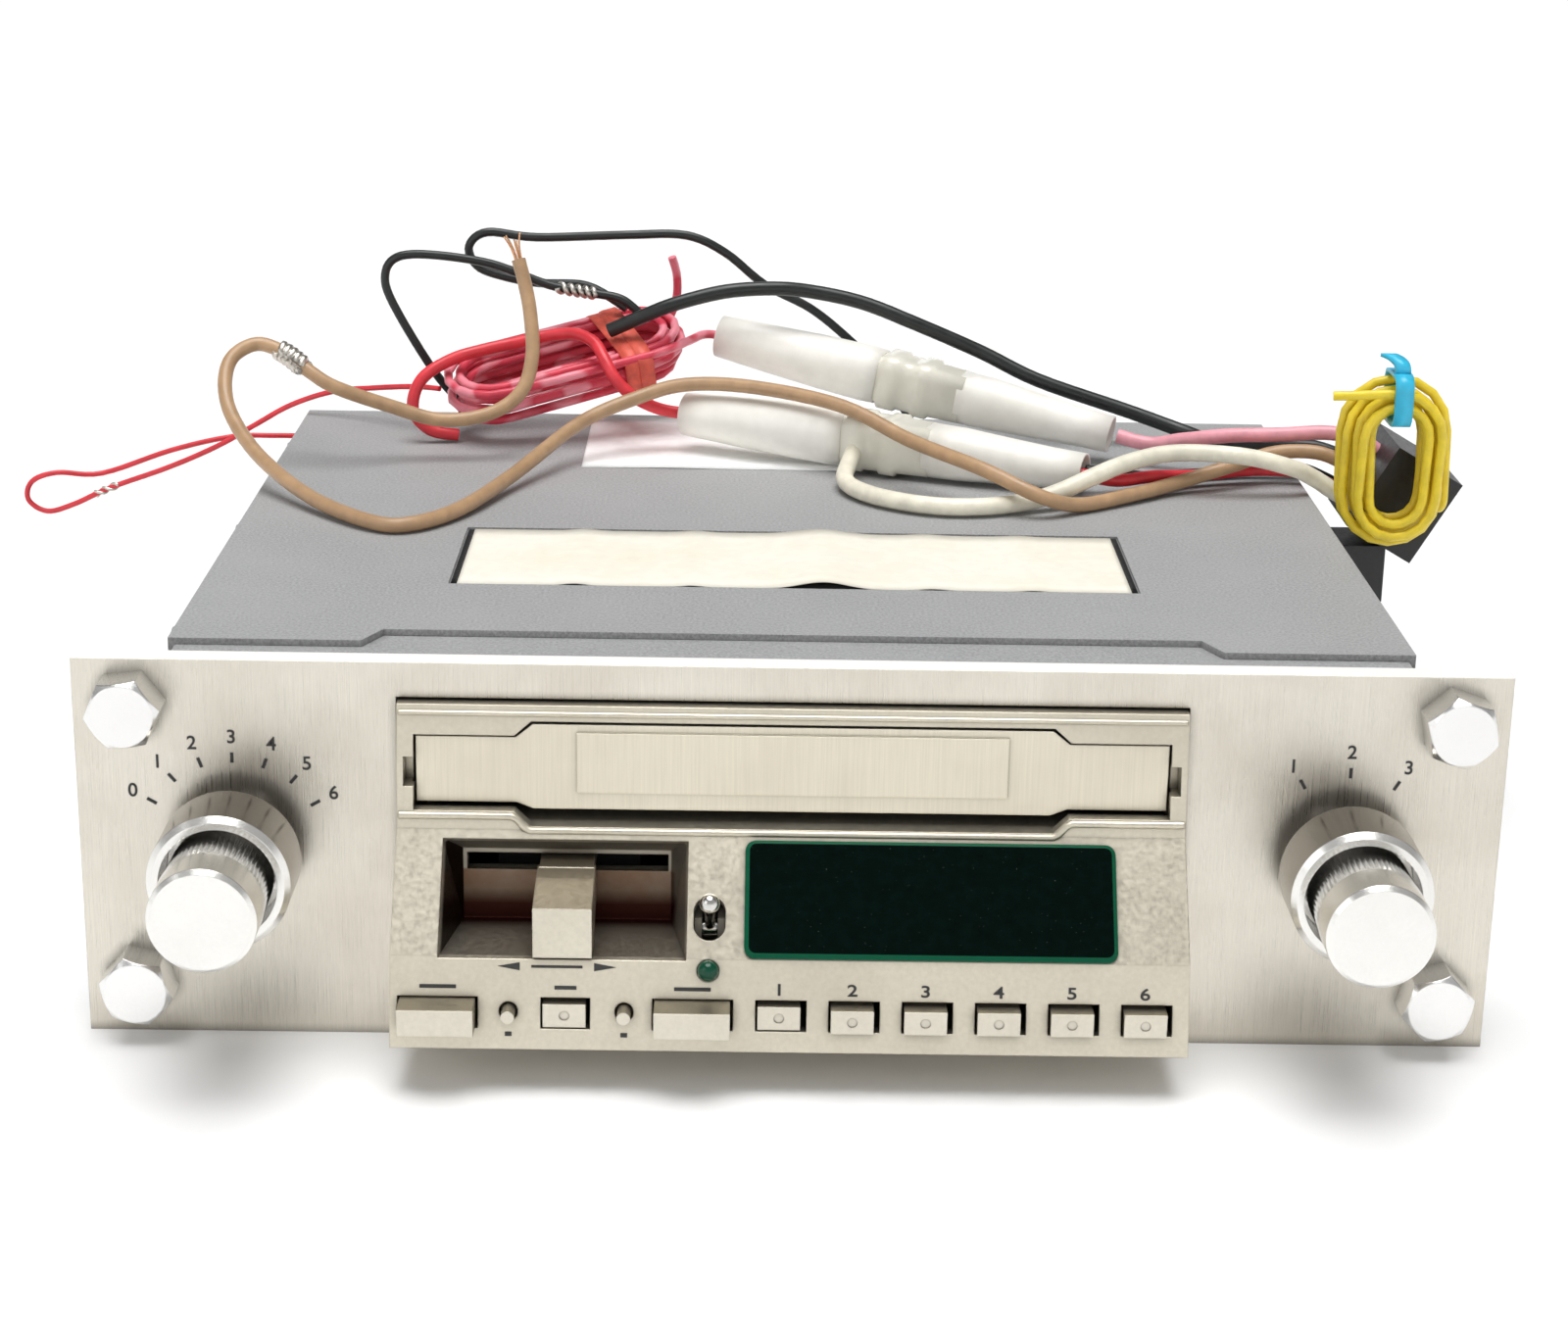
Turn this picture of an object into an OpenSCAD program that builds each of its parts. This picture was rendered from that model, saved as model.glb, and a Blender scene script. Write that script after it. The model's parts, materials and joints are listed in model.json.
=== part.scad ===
// Car cassette receiver, two-shaft type, built as separate pieces. Millimetres.
// X runs to the right, Y to the back, Z up; the trim plate's front face is at Y = 0 before placing.

/* [Trim plate] */
// Width of the brushed trim plate
plate_w = 200; // [196:1:212]
// Height of the brushed trim plate
plate_h = 56; // [55.5:0.5:60]
// Size of the four hex heads across the flats
bolt_flats = 9.2; // [8:0.2:10]

/* [Case] */
// How far the trim plate reaches past the case at each end
ear_w = 11; // [10.5:0.1:11.5]
// Depth of the case behind the trim plate
case_d = 150; // [149.5:0.5:158]
// Height of the folded cover skirts
skirt_h = 9; // [6:0.5:14]

/* [Knobs] */
// Distance from each end of the trim plate to its shaft
shaft_inset = 21.8; // [21.5:0.1:25]
// Diameter of the outer rings
ring_d = 19.75; // [19:0.25:22]
// Diameter of the inner knobs
knob_d = 14.8; // [12:0.2:15]
// How far the inner knobs reach in front of the plate
knob_reach = 27.8; // [26:0.2:32]

/* [Front panel] */
// Width of the nosepiece
nose_w = 109.8; // [109.4:0.1:111]
// Pitch of the six preset buttons
preset_pitch = 10.06; // [9.4:0.02:10.1]
// Thickness of the nosepiece shell
shell = 2; // [1.8:0.1:2.2]

/* [Hidden] */
$fn = 48;

// clearances
run = 0.05;
gap = 0.3;

// case
plate_t = 4;
sheet = 1;
case_h = 55;
case_w = plate_w - 2 * ear_w;
wall_y = plate_t + 1.2;
tray_x = case_w / 2 - sheet;
tray_top = case_h - sheet;
back_y = plate_t + case_d;
rear_t = 1.5;
rear_y = back_y - rear_t;
stud_len = 10;
stud_r = 2.5;
stud_z = 28;
origin_y = (back_y + stud_len - knob_reach) / 2;
bracket_y = [40, 80];
bracket_z = 20;
bracket_r = 2.1;
cover_front = 13;
cover_notch = 18.5;
tab_x = tray_x - 12;
cover_tab = [tray_x - 26.5, tray_x - 29];
label_low = [-52, 42];
label_high = [53, 74];
label_deep = 0.4;
screw_y = [24, 80, 136];
screw_z = case_h - skirt_h / 2;
rear_screw_z = [10, 44];
standoff_x = tray_x - 10;
standoff_y = [36, back_y - 12];
standoff_r = 3;
board_z = 5;
socket_x = 60;
socket_z = 34;
socket_r = 4.75;

// front plate
bolt_top = 49.5;
bolt_low = 8.2;
bolt_head = 6;
bolt_len = 12;
bolt_r = 2.5;
bolt_clear = 0.7;
bolt_x = case_w / 2 + bolt_r + bolt_clear;
// each bolt's side, height and how far its head is turned
bolts = [[-1, bolt_top, 23], [1, bolt_top, -11.5], [-1, bolt_low, -18], [1, bolt_low, 16]];

// nosepiece outline seen from the side, as [y, z]
nose = [[plate_t, 50.6], [-1.8, 50.6], [-4.8, 33.4], [-15.8, 19], [-18.7, 6.5], [plate_t, 6.5]];
nose_x = nose_w / 2;
nose_in = nose_x - shell;
slant_tilt = atan2(nose[2][0] - nose[3][0], nose[2][1] - nose[3][1]);
low_tilt = atan2(nose[3][0] - nose[4][0], nose[3][1] - nose[4][1]);
shelf_z = [32, 33.8];

// cassette door
door_x = nose_in - 0.6;
door_front = -2.2;
door_back = -1;
hinge_y = -0.6;
hinge_z = 47.3;
hinge_r = 0.8;
door_edge = [36.5, 46.1];
door_mid = [35.6, 48];
door_flat = 36.1;
door_slope = 2.3;
door_plate_x = 30;
door_plate_z = [38.1, 46.9];
door_plate_t = 0.4;
door_ear = 3;
door_ear_z = 44.6;

// transport lever
recess = [-48.4, -14.3];
recess_back_y = -2;
recess_back = [-46, -16.8];
recess_block = [-49.9, -13.6];
slot_x = [-45.4, -17.2];
slot_z = [26.35, 28.85];
lever_x = -31.25;
lever_w = 8.1;
stem_w = 7.6;
stem_z = [26.85, 28.35];

// toggle
toggle = [-11.2, -8.33, 20.57];
toggle_rest = 10;
toggle_tip = 7.8;

// indicator and display window
lens_x = -11.3;
lens_drop = 1.6;
lens_r = 1.5;
lens_lip = 0.45;
window_x = [-6.4, 45];
window_s = [0.12, 16.92];
window_lap = 1.5;

// buttons: slots from low to high edge
slot_low = 9.28;
slot_high = 13.57;
flange_y = -14.5;
button_back = -9.8;
switch_y = -7;
pin_hole_r = 1.3;
pin_r = 0.95;
preset_start = -4.75;
preset_slot = 7.05;
preset_face = 5.9;

// shafts and controls
shaft_x = plate_w / 2 - shaft_inset;
shaft_z = 28.5;
bushing_r = 4.75;
bushing_bore = 4;
ring_y = [-14.9, -4.4];
ring_web = -8;
ring_bore = 8.1;
sleeve_r = bushing_bore - run;
sleeve_bore = 3;
shaft_r = sleeve_bore - run;
nut_t = 2.8;
nut_flats = 14;
control_x = 8;
control_z = 10;
control_back = 21;
control_hollow = 6;
control_hollow_y = 11;
shaft_y = [-22, 17];
shaft_end_r = 5;
shaft_end = 1.7;
collar_y = [12, 15];
sleeve_back = 10.5;

// tape deck
deck_z = 26;
deck_t = 1.2;
deck_top = deck_z + deck_t;
deck_x = 53.6;
deck_y = [10, 130];
deck_wing_y = 35;
deck_wall = 0.8;
deck_wall_y = [cover_notch + 4 + gap, 70];
deck_wall_top = 48.4;
spindle_x = 21.25;
spindle_y = 38;
capstan = [33, 66];
capstan_r = 1.2;
wheel_r = 17;
wheel_z = [18, 23];
groove_z = [19.5, 21.5];
wheel_groove = 16;
motor = [-36, 112];
pulley_r = 5.5;
pulley_groove = 4.5;
pinch = [48, 76];
roller = [33, 77.5];
roller_r = 5;

// small shapes
module place() translate([0, -origin_y, 0]) children();
module box(low, high) translate(low) cube(high - low);
module rod_x(at, r, length) translate(at) rotate([0, 90, 0]) cylinder(r = r, h = length);
module rod_y(at, r, length) translate(at) rotate([-90, 0, 0]) cylinder(r = r, h = length);
module rod_z(at, r, length) translate(at) cylinder(r = r, h = length);
module turned_y(at, r, length, edge)
    translate(at) rotate([-90, 0, 0]) rotate_extrude()
        polygon([[0, 0], [r - edge, 0], [r, edge], [r, length], [0, length]]);
module both_sides() for (side = [0, 1]) mirror([side, 0, 0]) children();

// an outline of [y, z] points drawn out along x
module side_profile(points, x0, x1)
    translate([x0, 0, 0]) rotate([90, 0, 90]) linear_extrude(x1 - x0) polygon(points);

// an outline of [x, z] points drawn out along y
module front_profile(points, y0, y1)
    translate([0, y1, 0]) rotate([90, 0, 0]) linear_extrude(y1 - y0) polygon(points);

module rounded_plate(w, h, r, t) {
    linear_extrude(t) {
        translate([r, 0]) square([w - 2 * r, h]);
        translate([0, r]) square([w, h - 2 * r]);
        for (x = [r, w - r]) for (y = [r, h - r]) translate([x, y]) circle(r);
    }
}

// corner of an outline moved inward by t, from the two edges that meet there
function edge_normal(a, b) = [b[1] - a[1], a[0] - b[0]] / norm(b - a);
function inset_corner(a, b, c, t) =
    let (n = edge_normal(a, b), m = edge_normal(b, c), k = 1 + n * m)
    b - t * (n + m) / k;
function inset(points, t) =
    let (count = len(points))
    [for (i = [0:count - 1])
        inset_corner(points[(i + count - 1) % count], points[i], points[(i + 1) % count], t)];

// case
module chassis_tray() color("dimgray") place() difference() {
    union() {
        box([-tray_x, plate_t, 0], [tray_x, rear_y, sheet]);
        box([-tray_x, plate_t, 0], [tray_x, wall_y, tray_top]);
        box([-tray_x, plate_t, tray_top - sheet], [tray_x, cover_notch + 4, tray_top]);
        both_sides() {
            box([tray_x - sheet, plate_t, 0], [tray_x, rear_y, tray_top]);
            box([tab_x, rear_y - sheet, sheet], [tray_x, rear_y, tray_top]);
            for (y = standoff_y) rod_z([standoff_x, y, sheet], standoff_r, board_z - sheet);
        }
    }
    box([-deck_x + 0.6, plate_t - 1, 8.5], [deck_x - 0.6, wall_y + 1, 49]);
    both_sides() {
        rod_y([shaft_x, plate_t - 1, shaft_z], bushing_r + 0.2, 4);
        for (y = bracket_y) rod_x([tray_x - 3, y, bracket_z], bracket_r, 5);
        for (y = screw_y) rod_x([tray_x - 3, y, screw_z], 1.2, 5);
        for (z = rear_screw_z) rod_y([tray_x - 6, rear_y - 3, z], 1.2, 5);
    }
}

module top_cover() color("dimgray") place() difference() {
    union() {
        translate([0, 0, tray_top]) linear_extrude(sheet) polygon([
            [-tray_x, cover_front], [-cover_tab[0], cover_front], [-cover_tab[1], cover_notch],
            [cover_tab[1], cover_notch], [cover_tab[0], cover_front], [tray_x, cover_front],
            [tray_x, back_y], [-tray_x, back_y]
        ]);
        both_sides() box([tray_x, cover_front, case_h - skirt_h], [tray_x + sheet, back_y, case_h]);
    }
    box([label_low[0], label_low[1], case_h - label_deep], [label_high[0], label_high[1], case_h + 1]);
    both_sides() for (y = screw_y) rod_x([tray_x - 1, y, screw_z], 1.7, 3);
}

module rear_panel() color("dimgray") place() difference() {
    union() {
        box([-tray_x, rear_y, 0], [tray_x, back_y, tray_top]);
        rod_y([0, back_y - 0.5, stud_z], stud_r, stud_len + 0.5);
        rod_y([0, back_y - 0.5, stud_z], 5, 1.5);
        rod_y([-socket_x, back_y - 12, socket_z], socket_r + 1.2, 14);
    }
    rod_y([-socket_x, back_y - 11, socket_z], socket_r, 15);
    both_sides() for (z = rear_screw_z) rod_y([tray_x - 6, rear_y - 1, z], 1.7, 4);
}

// pan-head screw lying along +x with the underside of its head at the origin
module pan_screw(length) {
    rod_x([-length, 0, 0], 1.15, length);
    difference() {
        rod_x([0, 0, 0], 2.6, 1.4);
        box([0.8, -2, -0.3], [2, 2, 0.3]);
        box([0.8, -0.3, -2], [2, 0.3, 2]);
    }
}

module case_screws() color("silver") place() both_sides() {
    for (y = screw_y) translate([tray_x + sheet, y, screw_z]) pan_screw(4);
    for (z = rear_screw_z) translate([tray_x - 6, back_y, z]) rotate([0, 0, 90]) pan_screw(4);
}

// front plate and its bolts
module trim_plate() color("lightgray") place() difference() {
    box([-plate_w / 2, 0, 0], [plate_w / 2, plate_t, plate_h]);
    box([-nose_x - 0.25, -1, 6.25], [nose_x + 0.25, plate_t + 1, 51]);
    both_sides() {
        rod_y([shaft_x, -1, shaft_z], bushing_r + 0.2, plate_t + 2);
        for (z = [bolt_top, bolt_low]) rod_y([bolt_x, -1, z], bolt_r + 0.1, plate_t + 2);
    }
}

module plate_bolts() color("silver") place() for (bolt = bolts)
    translate([bolt[0] * bolt_x, 0, bolt[1]]) rotate([0, bolt[2], 0]) {
        rod_y([0, -0.5, 0], bolt_r, bolt_len + 0.5);
        intersection() {
            rotate([90, 0, 0]) rotate([0, 0, 30]) cylinder(d = bolt_flats / cos(30), h = bolt_head, $fn = 6);
            turned_y([0, -bolt_head, 0], bolt_flats, bolt_head, bolt_flats / 2 + 0.2);
        }
    }

// frames of the two lower panels of the nosepiece: z up the panel from the kink, -y outward
module on_slant() translate([0, nose[3][0], nose[3][1]]) rotate([-slant_tilt, 0, 0]) children();
module on_low() translate([0, nose[3][0], nose[3][1]]) rotate([-low_tilt, 0, 0]) children();

// end view of a cassette: thin at the ends, thick in the middle
function cassette_section(end_x, flat_x, ends, middle) =
    let (step_x = flat_x + door_slope)
    [
        [-end_x, ends[0]], [-step_x, ends[0]], [-flat_x, middle[0]], [flat_x, middle[0]],
        [step_x, ends[0]], [end_x, ends[0]], [end_x, ends[1]], [step_x, ends[1]],
        [flat_x, middle[1]], [-flat_x, middle[1]], [-step_x, ends[1]], [-end_x, ends[1]]
    ];

function preset_x(i) = preset_start + i * preset_pitch;
clock_x = [-53.85, -42.8];
store_x = [-34.2, -27.4];
local_x = [-18.9, -7.8];
hour_at = [-38.6, 11.65];
minute_at = [-22.75, 11.7];
slots = concat([clock_x, store_x, local_x],
    [for (i = [0:5]) [preset_x(i), preset_x(i) + preset_slot]]);

// nosepiece
nose_inner = inset(nose, shell);
cavity_back = plate_t + 1;
cavity = [
    [cavity_back, nose_inner[0][1]], nose_inner[1], nose_inner[2], nose_inner[3], nose_inner[4],
    [cavity_back, nose_inner[5][1]]
];
floor_z = nose_inner[5][1];

module nosepiece() color("silver") place() difference() {
    union() {
        difference() {
            side_profile(nose, -nose_x, nose_x);
            side_profile(cavity, -nose_in, nose_in);
        }
        box([-nose_in - 0.5, -3.4, shelf_z[0]], [nose_in + 0.5, plate_t, shelf_z[1]]);
        intersection() {
            side_profile(nose, recess_block[0], recess_block[1]);
            box([recess_block[0], -20, 17], [recess_block[1], 0, shelf_z[0] + 1]);
        }
    }
    front_profile(cassette_section(door_x + 0.3, door_flat + 0.2, [35.9, 46.4], [shelf_z[1], 48.4]), -9, 2);
    lever_recess();
    both_sides() {
        box([door_x - 0.1, -9, 39.2], [nose_x - 0.9, 0, 43.3]);
        box([door_x - 3.6, -1.85, 46], [nose_in, plate_t, nose_inner[0][1]]);
        rod_x([nose_in - 1, hinge_y, hinge_z], hinge_r + run, shell + 0.4);
    }
    on_slant() {
        box([window_x[0] + window_lap, -1, window_s[0] + window_lap],
            [window_x[1] - window_lap, shell + 2, window_s[1] - window_lap]);
        stadium_hole(toggle[0], 5.78, 2.2, 0.95);
    }
    on_low() rod_y([lens_x, -1, -lens_drop], lens_r + run, shell + 2);
    for (slot = slots) box([slot[0], -30, slot_low], [slot[1], -6.5, slot_high]);
    for (at = [hour_at, minute_at]) rod_y([at[0], -30, at[1]], pin_hole_r, 22);
}

module stadium_hole(x, s, r, reach) {
    for (up = [-reach, reach]) rod_y([x, -1, s + up], r, shell + 2);
    box([x - r, -1, s - reach], [x + r, shell + 1, s + reach]);
}

module lever_recess() {
    hull() {
        side_profile([[-5.6, 32.3], [-6.6, 33.1], [-17, 19.5], [-16, 18.7]], recess[0], recess[1]);
        box([recess_back[0], recess_back_y - 0.1, 19], [recess_back[1], recess_back_y, 29.5]);
    }
    box([slot_x[0], recess_back_y - 0.5, slot_z[0]], [slot_x[1], 1, slot_z[1]]);
}

module display_window() color("darkgreen") place() on_slant() {
    w = window_x[1] - window_x[0];
    h = window_s[1] - window_s[0];
    translate([window_x[0], 0, window_s[0]]) {
        rotate([90, 0, 0]) hull() {
            rounded_plate(w, h, 1.5, 0.4, $fn = 24);
            translate([0.6, 0.6, 0]) rounded_plate(w - 1.2, h - 1.2, 1, 1, $fn = 24);
        }
        box([window_lap + 0.1, -0.2, window_lap + 0.1], [w - window_lap - 0.1, shell, h - window_lap - 0.1]);
    }
}

module indicator_lens() color("green") place() on_low() translate([lens_x, 0, -lens_drop]) {
    rod_y([0, 0, 0], lens_r, shell + lens_lip + 0.5);
    rod_y([0, shell + lens_lip, 0], lens_r + 0.6, 1.5);
    intersection() {
        sphere(lens_r);
        box([-3, -3, -3], [3, 0.5, 3]);
    }
}

module cassette_door() color("silver") place() {
    front_profile(cassette_section(door_x, door_flat, door_edge, door_mid), door_front, door_back);
    box([-door_plate_x, door_front - door_plate_t, door_plate_z[0]],
        [door_plate_x, door_front + door_plate_t, door_plate_z[1]]);
    both_sides() {
        box([door_x - door_ear, door_back - 0.4, door_ear_z], [door_x, hinge_y + 0.7, hinge_z]);
        rod_x([door_x - door_ear, hinge_y, hinge_z], hinge_r + 0.15, door_ear);
        rod_x([door_x - 1, hinge_y, hinge_z], hinge_r, 2.7);
    }
}

// transport lever: slides left and right with its carriage and pushes in through it
module transport_lever() color("silver") place() translate([lever_x, 0, 0]) {
    side_profile([[-16.5, 19.2], [-16.5, 26.4], [-9, 27.9], [-5.4, 28.35], [-5.4, 23], [-12, 19.2]],
        -lever_w / 2, lever_w / 2);
    box([-stem_w / 2, -6, stem_z[0]], [stem_w / 2, 3, stem_z[1]]);
    box([-stem_w / 2 - 1, 2.1, stem_z[0] - 1], [stem_w / 2 + 1, 3.1, stem_z[1] + 1]);
}

module lever_carriage() color("dimgray") place() translate([lever_x, 0, 0]) difference() {
    box([-10, 0.3, 23.5], [10, 1.8, 31.5]);
    box([-stem_w / 2 - 0.1, 0, stem_z[0] - 0.1], [stem_w / 2 + 0.1, 3, stem_z[1] + 0.1]);
}

module toggle_lever() color("silver") place() translate(toggle) {
    rod_x([-2.1, 0, 0], 0.8, 4.2);
    rod_x([-1, 0, 0], 1.2, 2);
    rotate([-slant_tilt - toggle_rest, 0, 0]) {
        rod_y([0, -toggle_tip, 0], 0.7, toggle_tip);
        translate([0, -toggle_tip, 0]) sphere(1.4);
    }
}

// buttons: a key in a slot, its flange behind the panel and a stem to the switch
module key(slot, face, front, high) {
    x0 = slot[0] + 0.3;
    middle = x0 + face / 2;
    flange_x0 = max(x0, -nose_in + gap);
    box([x0, front, slot_low + 0.2], [x0 + face, flange_y + 0.5, high]);
    box([flange_x0, flange_y, slot_low - 0.45], [x0 + face, flange_y + 1, slot_high + 0.6]);
    box([middle - 1.2, flange_y + 0.5, 10.2], [middle + 1.2, button_back, 12.6]);
}

module dotted_key(slot, front) difference() {
    key(slot, preset_face, front, 12.9);
    rod_y([slot[0] + 0.3 + preset_face / 2, front - 1, 11.2], 0.7, 1.2);
}

module pin_button(at) color("silver") place() {
    rod_y([at[0], -19.8, at[1]], pin_r, button_back + 19.8);
    rod_y([at[0], flange_y, at[1]], pin_hole_r + 0.7, 1);
}

long_front = -21.5;
preset_front = -19;
low_front = -17.9;
module preset(i, front) color("silver") place() dotted_key([preset_x(i), 0], front);
module clock_button() color("silver") place() key(clock_x, 10.4, long_front, 13.35);
module local_button() color("silver") place() key(local_x, 10.4, long_front, 13.35);
module store_button() color("silver") place() dotted_key(store_x, low_front);
module hour_button() pin_button(hour_at);
module minute_button() pin_button(minute_at);
module preset_button_1() preset(0, low_front);
module preset_button_2() preset(1, preset_front);
module preset_button_3() preset(2, preset_front);
module preset_button_4() preset(3, preset_front);
module preset_button_5() preset(4, preset_front);
module preset_button_6() preset(5, preset_front);

// board behind the nosepiece with its switches, display tube and toggle bracket
board_y = [-1, 0.6];
board_x = nose_in - gap;
board_low_top = 16;
board_high_top = 31;
board_step_x = -13;
switch_size = 4.6;
switch_z = 11.5;
tube_x = [-4, 43];
tube_y = -4;
tube_z = [19, 30];
switch_x = concat([-48.35, -38.6, -30.95, -22.75, -13.4],
    [for (i = [0:5]) preset_x(i) + 0.3 + preset_face / 2]);

module front_board() color("darkolivegreen") place() difference() {
    union() {
        box([-board_x, board_y[0], floor_z], [board_x, board_y[1], board_low_top]);
        box([board_step_x, board_y[0], floor_z], [board_x, board_y[1], board_high_top]);
        for (x = switch_x) {
            box([x - switch_size / 2, switch_y + 1, switch_z - switch_size / 2],
                [x + switch_size / 2, board_y[0], switch_z + switch_size / 2]);
            rod_y([x, switch_y, switch_z], 1, 1.5);
        }
        box([tube_x[0], tube_y, tube_z[0]], [tube_x[1], board_y[0], tube_z[1]]);
        for (side = [-1, 1]) translate([toggle[0] + side * 1.6, 0, 0])
            box([-0.5, toggle[1] - 1.6, 18.5], [0.5, board_y[0], 22.6]);
    }
    rod_x([toggle[0] - 4, toggle[1], toggle[2]], 0.8 + run, 8);
}

// concentric knobs
module knurl(r, length, teeth)
    rotate([90, 0, 0]) linear_extrude(length)
        polygon([for (i = [0:2 * teeth - 1])
            let (a = i * 180 / teeth)
            (r - 0.25 * (i % 2)) * [cos(a), sin(a)]]);

knob_tail = -11;
cap_len = 6.5;
cap_edge = 0.6;
ring_edge = 0.8;
module inner_knob() difference() {
    union() {
        turned_y([0, -knob_reach, 0], knob_d / 2, cap_len, cap_edge);
        translate([0, knob_tail, 0]) knurl(knob_d / 2 - 0.2, knob_reach + knob_tail - cap_len + 0.5, 60);
    }
    rod_y([0, shaft_y[0], 0], sleeve_bore, knob_tail - shaft_y[0] + 1);
}

module outer_ring() difference() {
    union() {
        turned_y([0, ring_y[0], 0], ring_d / 2, ring_y[1] - ring_y[0], ring_edge);
        rod_y([0, ring_y[1] - 0.5, 0], sleeve_r, sleeve_back - ring_y[1] + 0.5);
    }
    rod_y([0, ring_y[0] - 1, 0], ring_bore, ring_web - ring_y[0] + 1);
    rod_y([0, ring_y[0] - 1, 0], sleeve_bore, 30);
}

module shaft() {
    rod_y([0, shaft_y[0], 0], shaft_r, shaft_y[1] - shaft_y[0]);
    rod_y([0, shaft_y[1] - shaft_end, 0], shaft_end_r, shaft_end);
}

module at_left() translate([-shaft_x, 0, shaft_z]) children();
module at_right() translate([shaft_x, 0, shaft_z]) children();
module volume_knob() color("silver") place() at_left() inner_knob();
module tuning_knob() color("silver") place() at_right() inner_knob();
module tone_ring() color("silver") place() at_left() outer_ring();
module mode_ring() color("silver") place() at_right() outer_ring();
module volume_shaft() color("gray") place() at_left() shaft();
module tuning_shaft() color("gray") place() at_right() shaft();

module balance_collar() color("gray") place() at_left() difference() {
    rod_y([0, collar_y[0], 0], shaft_end_r, collar_y[1] - collar_y[0]);
    rod_y([0, collar_y[0] - 1, 0], sleeve_bore, collar_y[1] - collar_y[0] + 2);
}

module control_body() difference() {
    union() {
        box([-control_x, wall_y, -control_z], [control_x, control_back, control_z]);
        rod_y([0, -nut_t - 0.2, 0], bushing_r, wall_y + nut_t + 1);
    }
    rod_y([0, -5, 0], bushing_bore, 20);
    rod_y([0, control_hollow_y, 0], control_hollow, control_back - control_hollow_y - 1);
    for (z = [-6, 0, 6]) rod_y([-6 + z / 6, control_back - 0.8, z], 0.8, 2);
}
module volume_control() color("gray") place() at_left() control_body();
module tuning_control() color("gray") place() at_right() control_body();

module shaft_nuts() color("silver") place() both_sides() translate([shaft_x, 0, shaft_z]) difference() {
    rotate([90, 0, 0]) cylinder(d = nut_flats / cos(30), h = nut_t, $fn = 6);
    rod_y([0, -nut_t - 1, 0], bushing_r + 0.1, nut_t + 2);
}

// tape deck
wall_in = deck_x - deck_wall;
carrier_x = wall_in - 0.4;
carrier_y = [cover_notch + 4 + gap, 60];
carrier_z = 33.8;
carrier_t = 0.8;
carrier_top = 48.4;
carrier_lip = 8.4;
carrier_hole = 7;
motor_r = 15;
motor_end_r = 13;
motor_end = 2;
motor_top = tray_top - 4.8;
tip_z = 34.4;
deck_side = tray_x - sheet;

module deck_plate() color("silver") place() difference() {
    union() {
        box([-deck_x, deck_y[0], deck_z], [deck_x, deck_y[1], deck_top]);
        box([-deck_side, deck_wing_y, deck_z], [deck_side, deck_y[1], deck_top]);
        both_sides() box([wall_in, deck_wall_y[0], deck_z], [deck_x, deck_wall_y[1], deck_wall_top]);
        rod_z([capstan[0], capstan[1], wheel_z[1] + 0.4], 3, deck_z - wheel_z[1]);
        rod_z([pinch[0], pinch[1], deck_z], 1.5, 6);
        rod_z([pinch[0], pinch[1], deck_z], 3, deck_t + 1);
    }
    both_sides() rod_z([spindle_x, spindle_y, deck_z - 1], 1.5 + run, 4);
    rod_z([capstan[0], capstan[1], wheel_z[1]], capstan_r + run, 6);
    rod_z([motor[0], motor[1], deck_z - 1], 3, 4);
}

module cassette_carrier() color("gray") place() difference() {
    union() {
        box([-carrier_x, carrier_y[0], carrier_z], [carrier_x, carrier_y[1], carrier_z + carrier_t]);
        both_sides() {
            box([carrier_x - carrier_t, carrier_y[0], carrier_z], [carrier_x, carrier_y[1], carrier_top]);
            box([carrier_x - carrier_lip, carrier_y[0], carrier_top - carrier_t],
                [carrier_x, carrier_y[1], carrier_top]);
        }
    }
    both_sides() rod_z([spindle_x, spindle_y, carrier_z - 1], carrier_hole, carrier_t + 2);
}

module capstan_flywheel() color("silver") place() translate([capstan[0], capstan[1], 0]) {
    rod_z([0, 0, wheel_z[0]], wheel_r, groove_z[0] - wheel_z[0]);
    rod_z([0, 0, groove_z[0] - 0.5], wheel_groove, groove_z[1] - groove_z[0] + 1);
    rod_z([0, 0, groove_z[1]], wheel_r, wheel_z[1] - groove_z[1]);
    rod_z([0, 0, wheel_z[0] - 1.8], capstan_r, tip_z - wheel_z[0] + 1.8);
}

module drive_motor() color("gray") place() translate([motor[0], motor[1], 0]) difference() {
    union() {
        rod_z([0, 0, deck_top], motor_r, motor_top - motor_end - deck_top);
        rod_z([0, 0, motor_top - motor_end - 1], motor_end_r, motor_end + 1);
    }
    rod_z([0, 0, deck_top - 1], 1 + run, 10);
}

module motor_pulley() color("gold") place() translate([motor[0], motor[1], 0]) {
    rod_z([0, 0, wheel_z[0]], pulley_r, groove_z[0] - wheel_z[0]);
    rod_z([0, 0, groove_z[0] - 0.5], pulley_groove, groove_z[1] - groove_z[0] + 1);
    rod_z([0, 0, groove_z[1]], pulley_r, wheel_z[1] - groove_z[1]);
    rod_z([0, 0, wheel_z[1] - 1], 1, deck_top + 8 - wheel_z[1]);
}

module belt_outline(extra) hull() {
    translate(capstan) circle(wheel_groove + extra);
    translate(motor) circle(pulley_groove + extra);
}

module drive_belt() color("black") place() translate([0, 0, 20]) linear_extrude(1) difference() {
    belt_outline(gap + 1);
    belt_outline(gap);
}

arm_z = deck_top + 1.3;
module pinch_arm() color("silver") place() difference() {
    union() {
        rod_z([pinch[0], pinch[1], arm_z], 3, 2);
        rod_z([roller[0], roller[1], arm_z], 3, 2);
        rod_z([roller[0], roller[1], arm_z], 1, 10.5);
        translate([pinch[0], pinch[1], arm_z])
            rotate([0, 0, atan2(roller[1] - pinch[1], roller[0] - pinch[0])])
            box([0, -2, 0], [norm(roller - pinch), 2, 2]);
    }
    rod_z([pinch[0], pinch[1], arm_z - 1], 1.5 + run, 4);
}

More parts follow.
